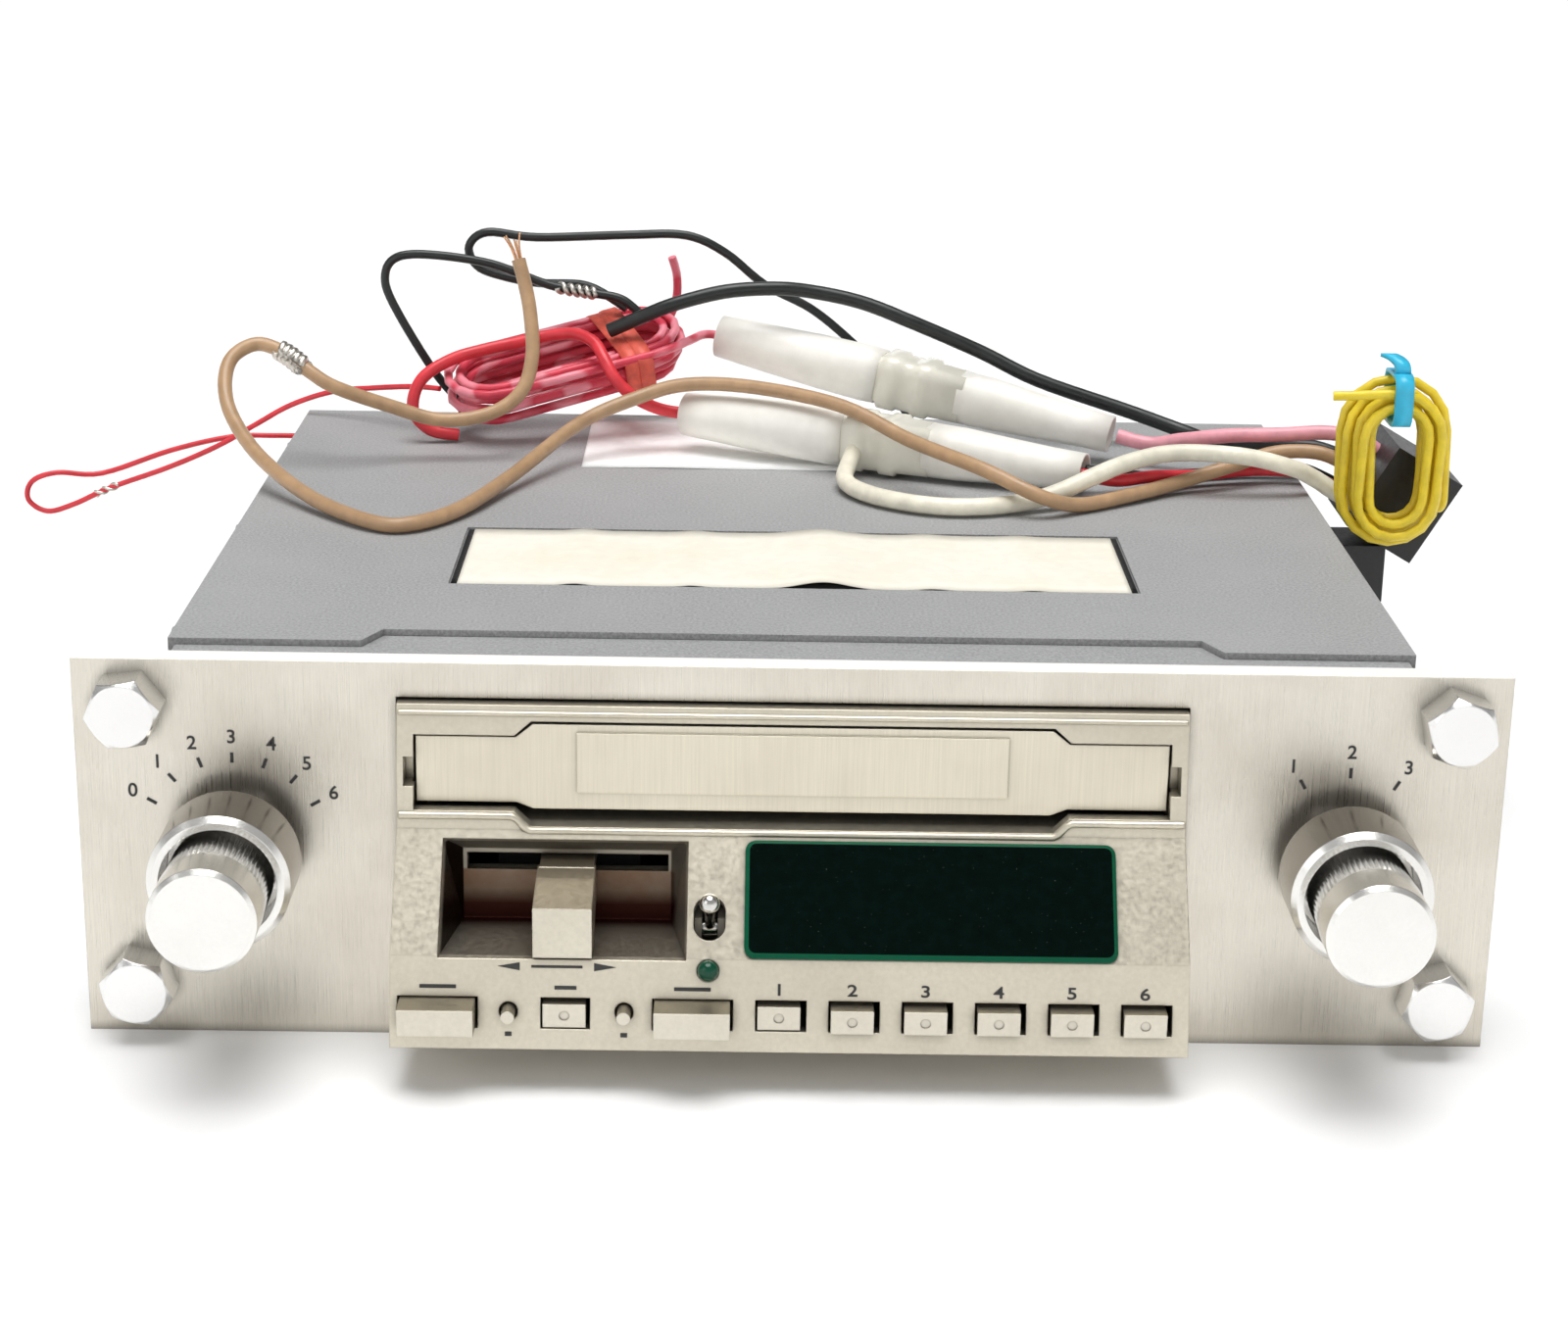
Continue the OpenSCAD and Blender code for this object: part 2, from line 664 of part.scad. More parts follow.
module pinch_roller() color("black") place() difference() {
    rod_z([roller[0], roller[1], arm_z + 2.3], roller_r, 7);
    rod_z([roller[0], roller[1], arm_z + 1], 1 + run, 10);
}

module tape_head() color("silver") place() {
    box([-8, 73.5, deck_top], [8, 82, deck_top + 1.5]);
    box([-6, 75, deck_top], [6, 80, 40]);
    intersection() {
        rod_z([0, 80, deck_top], 7, 40 - deck_top);
        box([-6, 72, deck_top], [6, 80, 40]);
    }
}

module reel_spindle() {
    rod_z([0, 0, deck_z - 2], 9, 2 - gap);
    rod_z([0, 0, deck_z - 1], 1.5, 3);
    rod_z([0, 0, deck_top + gap], 5, 1.5);
    rod_z([0, 0, deck_top + gap], 3, tip_z - deck_top - gap);
    for (turn = [0, 120, 240]) rotate([0, 0, turn]) box([2.5, -0.5, 30], [4, 0.5, tip_z - 1]);
}
module take_up_spindle() color("dimgray") place() translate([spindle_x, spindle_y, 0]) reel_spindle();
module supply_spindle() color("dimgray") place() translate([-spindle_x, spindle_y, 0]) reel_spindle();

board_top = board_z + 1.6;
solder_z = board_top - 0.5;
main_x = tray_x - 4;
main_y = [30, back_y - 6];
tuner_at = [15, back_y - 21, board_top];
tuner_size = [53, 14, 29.4];
power_at = [-40, back_y - 19, board_top];
power_size = [40, 12, 23.4];
can_x = [-70, -58, 58, 70];
can_y = 50;
can_r = 4;
can_h = 9;
chip_x = [-62, -20, 22];
chip_y = 88;
chip_size = [18, 8, 3.5];
coil_x = 60;
coil_y = [66, 80, 94];
coil_size = [12, 8, 6];
module main_board() color("darkolivegreen") place() {
    box([-main_x, main_y[0], board_z], [main_x, main_y[1], board_top]);
    box([tuner_at[0], tuner_at[1], solder_z], tuner_at + tuner_size);
    box([power_at[0], power_at[1], solder_z], power_at + power_size);
    for (x = can_x) rod_z([x, can_y, solder_z], can_r, can_h);
    for (x = chip_x) box([x, chip_y, solder_z], [x, chip_y, board_top] + chip_size);
    for (y = coil_y) box([coil_x, y, solder_z], [coil_x, y, board_top] + coil_size);
}

// soft leads: a round tube carried along hand-placed points
function bend(a, b, c, d, t) =
    0.5 * (2 * b + (c - a) * t + (2 * a - 5 * b + 4 * c - d) * t * t + (3 * b - a - 3 * c + d) * t * t * t);
function smooth(points, steps = 2) =
    let (last = len(points) - 1)
    concat([for (i = [0:last - 1]) for (k = [0:steps - 1])
        bend(points[max(i - 1, 0)], points[i], points[i + 1], points[min(i + 2, last)], k / steps)],
        [points[last]]);
function unit(v) = v / norm(v);
function headings(path) =
    let (last = len(path) - 1)
    [for (i = [0:last]) unit(path[min(i + 1, last)] - path[max(i - 1, 0)])];
function square_to(v, heading) = unit(v - (v * heading) * heading);
function carried(ahead, i, side, sides) =
    i == len(ahead) ? sides :
    let (next = square_to(side, ahead[i])) carried(ahead, i + 1, next, concat(sides, [next]));

module tube(path, r, sides) {
    last = len(path) - 1;
    ahead = headings(path);
    first = abs(ahead[0][2]) < 0.9 ? [0, 0, 1] : [1, 0, 0];
    across = carried(ahead, 0, square_to(first, ahead[0]), []);
    points = concat(
        [for (i = [0:last]) for (k = [0:sides - 1])
            let (a = 360 * k / sides)
            path[i] + r * (cos(a) * across[i] + sin(a) * cross(ahead[i], across[i]))],
        [path[0], path[last]]);
    near_cap = len(points) - 2;
    far_cap = len(points) - 1;
    faces = concat(
        [for (i = [0:last - 1]) for (k = [0:sides - 1])
            [i * sides + k, (i + 1) * sides + k, i * sides + (k + 1) % sides]],
        [for (i = [0:last - 1]) for (k = [0:sides - 1])
            [i * sides + (k + 1) % sides, (i + 1) * sides + k, (i + 1) * sides + (k + 1) % sides]],
        [for (k = [0:sides - 1]) [near_cap, k, (k + 1) % sides]],
        [for (k = [0:sides - 1]) [far_cap, last * sides + (k + 1) % sides, last * sides + k]]);
    polyhedron(points, faces);
}
module lead(points, d) tube(smooth(points), d / 2, 8);

// the wiring is laid out for a tray whose side is here, and goes with that side
wiring_side = 88;
module wiring() translate([tray_x - wiring_side, 0, 0]) place() children();

// lead routes
white_route = [
    [97.12, 103.5, 53.35], [93.2, 103.5, 55.6], [89.5, 103, 58], [85.5, 101.5, 60], [77, 101, 62],
    [66, 101.5, 62.3], [58, 98, 61.6], [51, 93.5, 60], [45, 90.5, 58], [39, 88, 56.8], [31, 85, 56.7],
    [23, 85.5, 56.7], [15.5, 90, 56.7], [11, 96, 56.7], [9.5, 102, 57], [10.5, 108, 58.2], [11.5, 112.8, 59.5]
];
brown_route = [
    [99.37, 108, 57.25], [96, 108, 59.2], [91, 108.5, 61], [84, 109.5, 60.6], [76, 106, 59],
    [66, 101.5, 57], [57, 94.5, 56.5], [48, 88, 56.5], [41, 84.5, 58.9], [32, 89.5, 62],
    [20.6, 102, 63.6], [9, 112.5, 67], [-6, 121.5, 68], [-18, 125.5, 67.4], [-26.5, 124.5, 65.2],
    [-36.5, 118.5, 61.8], [-46.5, 98.5, 57.6], [-53.7, 80, 56.5], [-60.6, 70.5, 56.4], [-67, 71, 56.4],
    [-78, 82, 57.2], [-88.5, 96, 60.2], [-94.8, 106, 64.6], [-97, 111.5, 69], [-96.4, 116, 73],
    [-92.4, 118.4, 75], [-87.6, 117.4, 73.8], [-83.2, 115.2, 71.2], [-78.4, 114.6, 68.4],
    [-69, 117.3, 64.5], [-60.8, 118.5, 62],
    [-52.4, 119.5, 63], [-47, 121.5, 66.5], [-45.2, 124.5, 72], [-45.6, 128, 78], [-46.6, 130.5, 83],
    [-48, 132, 88]
];
black_route = [
    [99.37, 113.5, 57.25], [96, 113.5, 59.2], [91, 115, 60.4], [85, 118, 59.5], [78, 125, 57.8],
    [72, 133.5, 58.2], [61.5, 137, 61.2], [45.4, 138.6, 66.2], [34.6, 140.5, 71], [21.9, 140.5, 76.3],
    [13.1, 141.5, 79.4], [4.3, 141.5, 81.2], [-2.8, 140, 82], [-11.5, 139.5, 81.4], [-20.2, 138.5, 79.3],
    [-25.5, 138.5, 77.2], [-32.4, 139, 74]
];
short_black_route = [
    [97.12, 113, 53.35], [93.6, 113, 55.4], [88.5, 113.5, 57], [80, 113.5, 56.3], [70, 110.5, 56.3],
    [62, 106, 56.8], [56, 102.3, 58.4], [50.5, 101.3, 59]
];
red_route = [
    [97.12, 108.5, 53.35], [93.6, 108.5, 55.4], [88.5, 109.5, 57.2], [80, 109.8, 57.4], [70, 106.8, 57],
    [62, 102.2, 57.9], [55.5, 98.4, 58.1], [49.3, 98.9, 59]
];
red_left_route = [
    [-18.2, 128.2, 61.5], [-22.8, 127.6, 62.4], [-27.4, 127.2, 64.6], [-30.8, 127.8, 67.8],
    [-32.8, 130, 70.8], [-34.8, 133.6, 73], [-38.5, 137, 73.8], [-43.5, 138.6, 73], [-49, 138, 71.8],
    [-54.5, 136.5, 70.8], [-60.5, 134.8, 69.2], [-65.6, 132.4, 66], [-67, 130.6, 61], [-64, 130.2, 57.4],
    [-59, 131, 56.3]
];
pink_route = [
    [101.62, 110.5, 61.15], [98.2, 110.7, 63.1], [93, 112, 63.7], [85.6, 113, 63], [77, 115, 62.2],
    [69, 118.5, 60.4], [63.8, 120.7, 59.1], [58.2, 122.5, 60]
];
thin_black_route = [
    [-56, 151.5, 56.2], [-60, 149.5, 58], [-65, 147, 64.5], [-72, 146, 77], [-73.3, 146, 82.3],
    [-71, 146, 85.5], [-64.7, 146, 86], [-54, 146, 84.5], [-43.5, 146, 80.8], [-36, 145.5, 79.6],
    [-30.5, 144.8, 78.7], [-26.8, 144.2, 76]
];
far_black_route = [
    [-29.5, 147, 76.5], [-36.8, 149, 80.2], [-45.7, 150, 80.4], [-52.5, 150, 81.6], [-57, 150, 83.4],
    [-58.4, 150, 87], [-55, 150, 89.6], [-46, 150, 88.8], [-29.6, 150, 89.5],
    [-18.9, 150, 89.6], [-11.7, 150, 86.5],
    [-4.5, 150, 80.8], [4, 150, 76.5], [11, 150, 71], [17, 150, 65], [21, 149.5, 59], [23, 149, 56.2]
];
thin_red_route = [
    [-63, 138.5, 63], [-68, 142, 62.5], [-76, 147, 61], [-84, 150, 59.5], [-92, 151.5, 56.5],
    [-99, 151.5, 52.5], [-106, 151, 48.5], [-115, 150.5, 44.5], [-126, 150, 40.5], [-133, 150, 37.2],
    [-138, 150, 35.8], [-141.4, 150, 38], [-140.6, 150.4, 41.4], [-136, 151, 43],
    [-128, 153, 42.5], [-115, 153.5, 47],
    [-104, 154.5, 49.5], [-96, 156, 49.5], [-90, 157.5, 49], [-82, 155.2, 48.5]
];

module white_lead() color("ivory") wiring() lead(white_route, 3);
module brown_lead() color("sienna") wiring() lead(brown_route, 2.5);
module black_leads() color("black") wiring() {
    lead(black_route, 2.6);
    lead(short_black_route, 2);
}
module red_leads() color("red") wiring() {
    lead(red_route, 2.2);
    lead(red_left_route, 2.2);
}
module pink_lead() color("pink") wiring() lead(pink_route, 2.6);
module thin_black_leads() color("black") wiring() {
    lead(thin_black_route, 1.6);
    lead(far_black_route, 1.6);
}
module thin_red_lead() color("red") wiring() lead(thin_red_route, 1);

// wound hanks: flat loops in layers, going in on even layers and out on odd ones
hank_d = 1.6;
hank_rings = 24;
hank_layers = 4;
function loop_radius(turn, r_in, pitch) =
    let (layer = min(floor(turn / 2), hank_layers - 1), along = turn - 2 * layer)
    r_in + pitch * (layer % 2 == 0 ? 2 - along : along);
function climb(turn, at) = min(max(2 * (turn - at) + 0.5, 0), 1);
function loop_height(turn, pitch) = pitch * (climb(turn, 2) + climb(turn, 4) + climb(turn, 6) - 1.5);
function loop_point(turn, half_run, r) =
    let (s = hank_rings * (turn - floor(turn)))
    s < 4 ? [half_run * (s / 2 - 1), -r] :
    s < 12 ? [half_run + r * cos(22.5 * s - 180), r * sin(22.5 * s - 180)] :
    s < 16 ? [half_run * (7 - s / 2), r] :
    [-half_run + r * cos(22.5 * s - 270), r * sin(22.5 * s - 270)];
function hank_path(first, last, half_run, r_in, pitch) =
    [for (i = [0:last - first])
        let (turn = (first + i) / hank_rings, p = loop_point(turn, half_run, loop_radius(turn, r_in, pitch)))
        [p[0], p[1], loop_height(turn, pitch)]];
function turned(p, roll, pitch, yaw) =
    let (
        y1 = p[1] * cos(roll) - p[2] * sin(roll),
        z1 = p[1] * sin(roll) + p[2] * cos(roll),
        x2 = p[0] * cos(pitch) - z1 * sin(pitch),
        z2 = p[0] * sin(pitch) + z1 * cos(pitch)
    )
    [x2 * cos(yaw) - y1 * sin(yaw), x2 * sin(yaw) + y1 * cos(yaw), z2];

// red hank: lies on its side, one end free and the other running to the upper connector
red_at = [-40, 141, 67];
red_turn = [15, 12, 18];
red_half = 13.2;
red_in = 4.8;
red_pitch = 2.15;
function red_place(p) = red_at + turned(p, red_turn[0], red_turn[1], red_turn[2]);
red_r0 = loop_radius(0.5, red_in, red_pitch);
red_low = loop_height(0, red_pitch);
red_start = [
    [red_half + 12.5, 13, 9], [red_half + 12.8, 12.4, 5], [red_half + 11.5, 11.2, 0.5],
    [red_half + 8, 9.4, red_low + 0.4], [red_half + 4, red_r0 + 0.2, red_low], [red_half, red_r0, red_low]
];
red_end = [
    [red_half + 4.3, -9, 3.3], [red_half + 8.3, -6.6, 2.4], [red_half + 11.8, -3.8, 1.2],
    [red_half + 14.4, -3.8, 0.4], [red_half + 16.3, -5.2, 0]
];
red_loops = hank_path(12, 196, red_half, red_in, red_pitch);
red_last = red_loops[len(red_loops) - 1];
red_local = concat([for (p = smooth(red_start)) if (p != red_loops[0]) p], red_loops,
    [for (p = smooth(concat([red_last], red_end))) if (p != red_last) p]);
red_path = [for (p = red_local) red_place(p)];
module red_hank() color("crimson") wiring() tube(red_path, hank_d / 2, 6);

// yellow hank: stands upright beside the case, its tail running into the harness socket
yellow_at = [100.8, 92.5, 63];
yellow_half = 5.2;
yellow_in = 4;
yellow_pitch = 2.1;
function yellow_place(p) = yellow_at + [p[1], p[2], p[0]];
yellow_loops = [for (p = hank_path(8, 208, yellow_half, yellow_in, yellow_pitch)) yellow_place(p)];
yellow_first = yellow_loops[0];
yellow_last = yellow_loops[len(yellow_loops) - 1];
yellow_start = [[89.5, 90, 75.2], [93, 89.6, 75.4], [97, yellow_first[1], yellow_first[2]], yellow_first];
yellow_end = [yellow_last, [110.4, 95.7, 56], [110.2, 96.6, 54.7], [110, 98.2, 54.4], [109.8, 100.2, 54.4]];
yellow_path = concat([for (p = smooth(yellow_start)) if (p != yellow_first) p], yellow_loops,
    [for (p = smooth(yellow_end)) if (p != yellow_last) p]);
module yellow_hank() color("gold") wiring() tube(yellow_path, hank_d / 2, 6);

// least gap of a wound path to itself, over points more than half a loop apart
function least_gap(path) = min([for (i = [0:len(path) - 1]) for (k = [i + 12:len(path) - 1])
    if (k < len(path)) norm(path[i] - path[k])]) - hank_d;
echo(red_gap = least_gap(red_path), yellow_gap = least_gap(yellow_path));

module band(size, thick, width) linear_extrude(width, center = true) difference() {
    square([size[0] + 2 * thick, size[1] + 2 * thick], center = true);
    square(size, center = true);
}

module wire_ties() color("deepskyblue") wiring() {
    translate(yellow_at + [0, 0, yellow_half + 6.4]) rotate([0, 90, 0]) band([7.4, 8.6], 0.8, 3);
    translate(red_at) rotate([0, 0, red_turn[2]]) rotate([0, -red_turn[1], 0]) rotate([red_turn[0], 0, 0])
        translate([10.5, 0, 0]) rotate([0, 90, 0]) band([8.5, 20.2], 0.5, 5);
}

// in-line connector boots, drawn along +x from the wide left end
boot_len = 74;
module boot() rotate([0, 90, 0]) rotate_extrude($fn = 32) polygon([
    [0, 0], [3.6, 0], [4.4, 12], [4.8, boot_len / 2], [4.3, boot_len - 18], [2.9, boot_len - 4],
    [2.9, boot_len], [0, boot_len]
]);
module boot_between(a, b) {
    d = b - a;
    translate(a) rotate([0, -asin(d[2] / norm(d)), atan2(d[1], d[0])]) boot();
}
module inline_connectors() color("white") wiring() {
    boot_between([-18.2, 128.2, 61.5], [49.9, 100.1, 59]);
    boot_between([-12.4, 145.5, 72], [58.2, 122.5, 60]);
}

// socket on the right side of the case where the leads leave
module harness_socket() color("black") wiring() {
    translate([105, 109, 54]) rotate([0, 30, 0]) box([-6.5, -9, -8], [6.5, 9, 8]);
    box([wiring_side, 101, 30], [wiring_side + 2, 117, 45.5]);
    box([wiring_side + 1, 103, 36], [103, 115, 46]);
}

chassis_tray();
top_cover();
rear_panel();
case_screws();
trim_plate();
plate_bolts();
nosepiece();
display_window();
indicator_lens();
cassette_door();
transport_lever();
lever_carriage();
toggle_lever();
clock_button();
hour_button();
store_button();
minute_button();
local_button();
preset_button_1();
preset_button_2();
preset_button_3();
preset_button_4();
preset_button_5();
preset_button_6();
front_board();
volume_knob();
tone_ring();
tuning_knob();
mode_ring();
volume_shaft();
balance_collar();
tuning_shaft();
volume_control();
tuning_control();
shaft_nuts();
deck_plate();
cassette_carrier();
capstan_flywheel();
drive_motor();
motor_pulley();
drive_belt();
pinch_arm();
pinch_roller();
tape_head();
take_up_spindle();
supply_spindle();
main_board();
brown_lead();
black_leads();
white_lead();
pink_lead();
red_leads();
thin_black_leads();
thin_red_lead();
red_hank();
yellow_hank();
wire_ties();
inline_connectors();
harness_socket();
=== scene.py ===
"""Looks for a car cassette receiver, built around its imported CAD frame. Metres, in the CAD frame."""

import json
import math

import bmesh
import bpy
from mathutils import Matrix, Vector


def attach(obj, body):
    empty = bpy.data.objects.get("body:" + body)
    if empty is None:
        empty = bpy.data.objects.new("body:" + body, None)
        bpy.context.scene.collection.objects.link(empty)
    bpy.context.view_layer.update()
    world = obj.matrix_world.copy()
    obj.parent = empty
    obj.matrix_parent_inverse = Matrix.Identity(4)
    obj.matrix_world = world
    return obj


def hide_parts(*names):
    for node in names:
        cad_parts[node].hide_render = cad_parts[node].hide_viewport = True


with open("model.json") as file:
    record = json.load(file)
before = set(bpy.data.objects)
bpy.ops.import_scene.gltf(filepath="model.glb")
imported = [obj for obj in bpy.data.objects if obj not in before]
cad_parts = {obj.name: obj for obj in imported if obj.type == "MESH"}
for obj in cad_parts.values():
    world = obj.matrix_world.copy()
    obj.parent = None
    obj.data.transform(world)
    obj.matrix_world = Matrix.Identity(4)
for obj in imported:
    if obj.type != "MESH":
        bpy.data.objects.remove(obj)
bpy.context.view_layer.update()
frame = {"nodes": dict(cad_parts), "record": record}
NODES = frame["nodes"]

# Places are given in millimetres with the trim plate's front face at y = 0, as in the CAD source.
ORIGIN_Y = 68.1
MM = 0.001

# Tilts of the nosepiece's two lower panels from upright
SLANT = math.atan2(11, 14.4)
LOW = math.atan2(2.9, 12.5)

# The way the trim plate faces
FRONT = (0, -1, 0)


def at(x, y, z):
    return Vector((x * MM, (y - ORIGIN_Y) * MM, z * MM))


def placed(name, data):
    made = bpy.data.objects.new(name, data)
    bpy.context.scene.collection.objects.link(made)
    return made


# Camera, fitted to the photograph's corners
def make_camera():
    data = bpy.data.cameras.new("camera")
    data.sensor_fit = "HORIZONTAL"
    data.sensor_width = 36
    data.lens = 69.27
    data.clip_start = 0.01
    camera = placed("camera", data)
    right = Vector((0.99983, -0.00637, 0.01723))
    down = Vector((0.01443, -0.30814, -0.95123))
    ahead = Vector((0.01137, 0.95132, -0.308))
    turn = Matrix((right, -down, -ahead)).transposed().to_4x4()
    turn.translation = at(-6.2, -396.56, 185.55)
    camera.matrix_world = turn
    bpy.context.scene.camera = camera


# Materials
def shader_tree(name):
    material = bpy.data.materials.new(name)
    material.use_nodes = True
    tree = material.node_tree
    return material, tree, tree.nodes["Principled BSDF"]


def object_place(tree):
    return tree.nodes.new("ShaderNodeTexCoord").outputs["Object"]


def noise(tree, scale, detail=4, rough=0.55, stretch=(1, 1, 1)):
    mapping = tree.nodes.new("ShaderNodeMapping")
    mapping.inputs["Scale"].default_value = stretch
    texture = tree.nodes.new("ShaderNodeTexNoise")
    texture.inputs["Scale"].default_value = scale
    texture.inputs["Detail"].default_value = detail
    texture.inputs["Roughness"].default_value = rough
    tree.links.new(object_place(tree), mapping.inputs["Vector"])
    tree.links.new(mapping.outputs["Vector"], texture.inputs["Vector"])
    return texture.outputs["Fac"]


def spread(tree, value, low, high, start=0.3, end=0.7):
    node = tree.nodes.new("ShaderNodeMapRange")
    node.inputs["From Min"].default_value = start
    node.inputs["From Max"].default_value = end
    node.inputs["To Min"].default_value = low
    node.inputs["To Max"].default_value = high
    tree.links.new(value, node.inputs["Value"])
    return node.outputs["Result"]


def math_node(tree, operation, *values):
    node = tree.nodes.new("ShaderNodeMath")
    node.operation = operation
    for socket, value in zip(node.inputs, values):
        if isinstance(value, (int, float)):
            socket.default_value = value
        else:
            tree.links.new(value, socket)
    return node.outputs["Value"]


def axes(tree):
    node = tree.nodes.new("ShaderNodeSeparateXYZ")
    tree.links.new(object_place(tree), node.inputs["Vector"])
    return node.outputs


def inside_box(tree, low, high, soft):
    """1 inside a box between two points, falling to 0 over a soft border."""
    mask = None
    for axis, start, end in zip(axes(tree), low, high):
        rise = spread(tree, axis, 0, 1, start - soft, start)
        fall = spread(tree, axis, 1, 0, end, end + soft)
        band = math_node(tree, "MULTIPLY", rise, fall)
        mask = band if mask is None else math_node(tree, "MULTIPLY", mask, band)
    return mask


def mixed(tree, factor, first, second):
    node = tree.nodes.new("ShaderNodeMix")
    node.data_type = "RGBA"
    tree.links.new(factor, node.inputs["Factor"])
    for socket, value in ((node.inputs[6], first), (node.inputs[7], second)):
        if isinstance(value, tuple):
            socket.default_value = (*value, 1)
        else:
            tree.links.new(value, socket)
    return node.outputs[2]


def crevices(tree, reach):
    """1 deep in creases and joints, 0 on open faces: where surface() paints shade into the colour."""
    node = tree.nodes.new("ShaderNodeAmbientOcclusion")
    node.samples = 4
    node.inputs["Distance"].default_value = reach * MM
    return spread(tree, node.outputs["AO"], 1, 0, 0.35, 0.95)


def surface(name, color, metallic=0.0, rough=0.5, grain=900, stretch=(1, 1, 1), vary=0.1,
            rough_vary=0.08, bump=0.15, edge=0.25, grime=(0, 0, 0), grime_amount=0.0, crevice_shade=0.0,
            specks=0.0, coat=0.0, specular=0.5):
    """One finish: fine grain in colour, gloss and relief, soiling, painted shade in creases, dust, and
    softened edges.
    """
    material, tree, shader = shader_tree(name)
    fine = noise(tree, grain, stretch=stretch)
    broad = noise(tree, 55, detail=3)
    dark = tuple(c * (1 - vary) for c in color)
    light = tuple(min(c * (1 + vary), 1) for c in color)
    tint = mixed(tree, spread(tree, fine, 0, 1), dark, light)
    tint = mixed(tree, spread(tree, broad, 0, grime_amount, 0.42, 0.78), tint, grime)
    # painted shade: deep in creases and joints the colour darkens towards 0.18 of itself
    if crevice_shade:
        tint = mixed(tree, math_node(tree, "MULTIPLY", crevices(tree, 1.6), crevice_shade), tint,
                     tuple(c * 0.18 for c in color))
    if specks:
        dust = spread(tree, noise(tree, 3200, detail=1), 0, specks, 0.76, 0.8)
        tint = mixed(tree, dust, tint, (0.6, 0.6, 0.58))
    tree.links.new(tint, shader.inputs["Base Color"])
    tree.links.new(spread(tree, fine, rough - rough_vary, rough + rough_vary), shader.inputs["Roughness"])
    shader.inputs["Metallic"].default_value = metallic
    shader.inputs["Specular IOR Level"].default_value = specular
    shader.inputs["Coat Weight"].default_value = coat
    shader.inputs["Coat Roughness"].default_value = 0.08
    soft_edge = tree.nodes.new("ShaderNodeBevel")
    soft_edge.samples = 4
    soft_edge.inputs["Radius"].default_value = edge * MM
    relief = tree.nodes.new("ShaderNodeBump")
    relief.inputs["Strength"].default_value = bump
    relief.inputs["Distance"].default_value = 0.0001
    tree.links.new(fine, relief.inputs["Height"])
    tree.links.new(soft_edge.outputs["Normal"], relief.inputs["Normal"])
    tree.links.new(relief.outputs["Normal"], shader.inputs["Normal"])
    return material


# Finishes, each as what surface() takes
SATIN = dict(metallic=0.85, rough=0.36, grain=1400, bump=0.06, edge=0.3)
TURNED = dict(color=(0.86, 0.85, 0.82), metallic=1, rough=0.2, grain=2600, vary=0.03, rough_vary=0.03,
              bump=0.03, edge=0.2, grime=(0.6, 0.57, 0.53), grime_amount=0.25)


def vinyl(color, vary=0.12):
    """A wire's cover: slightly glossy, with faint handling marks."""
    darker = tuple(c * 0.55 for c in color)
    return dict(color=color, rough=0.38, grain=350, vary=vary, rough_vary=0.1, bump=0.08, edge=0.05,
                grime=darker, grime_amount=0.35)


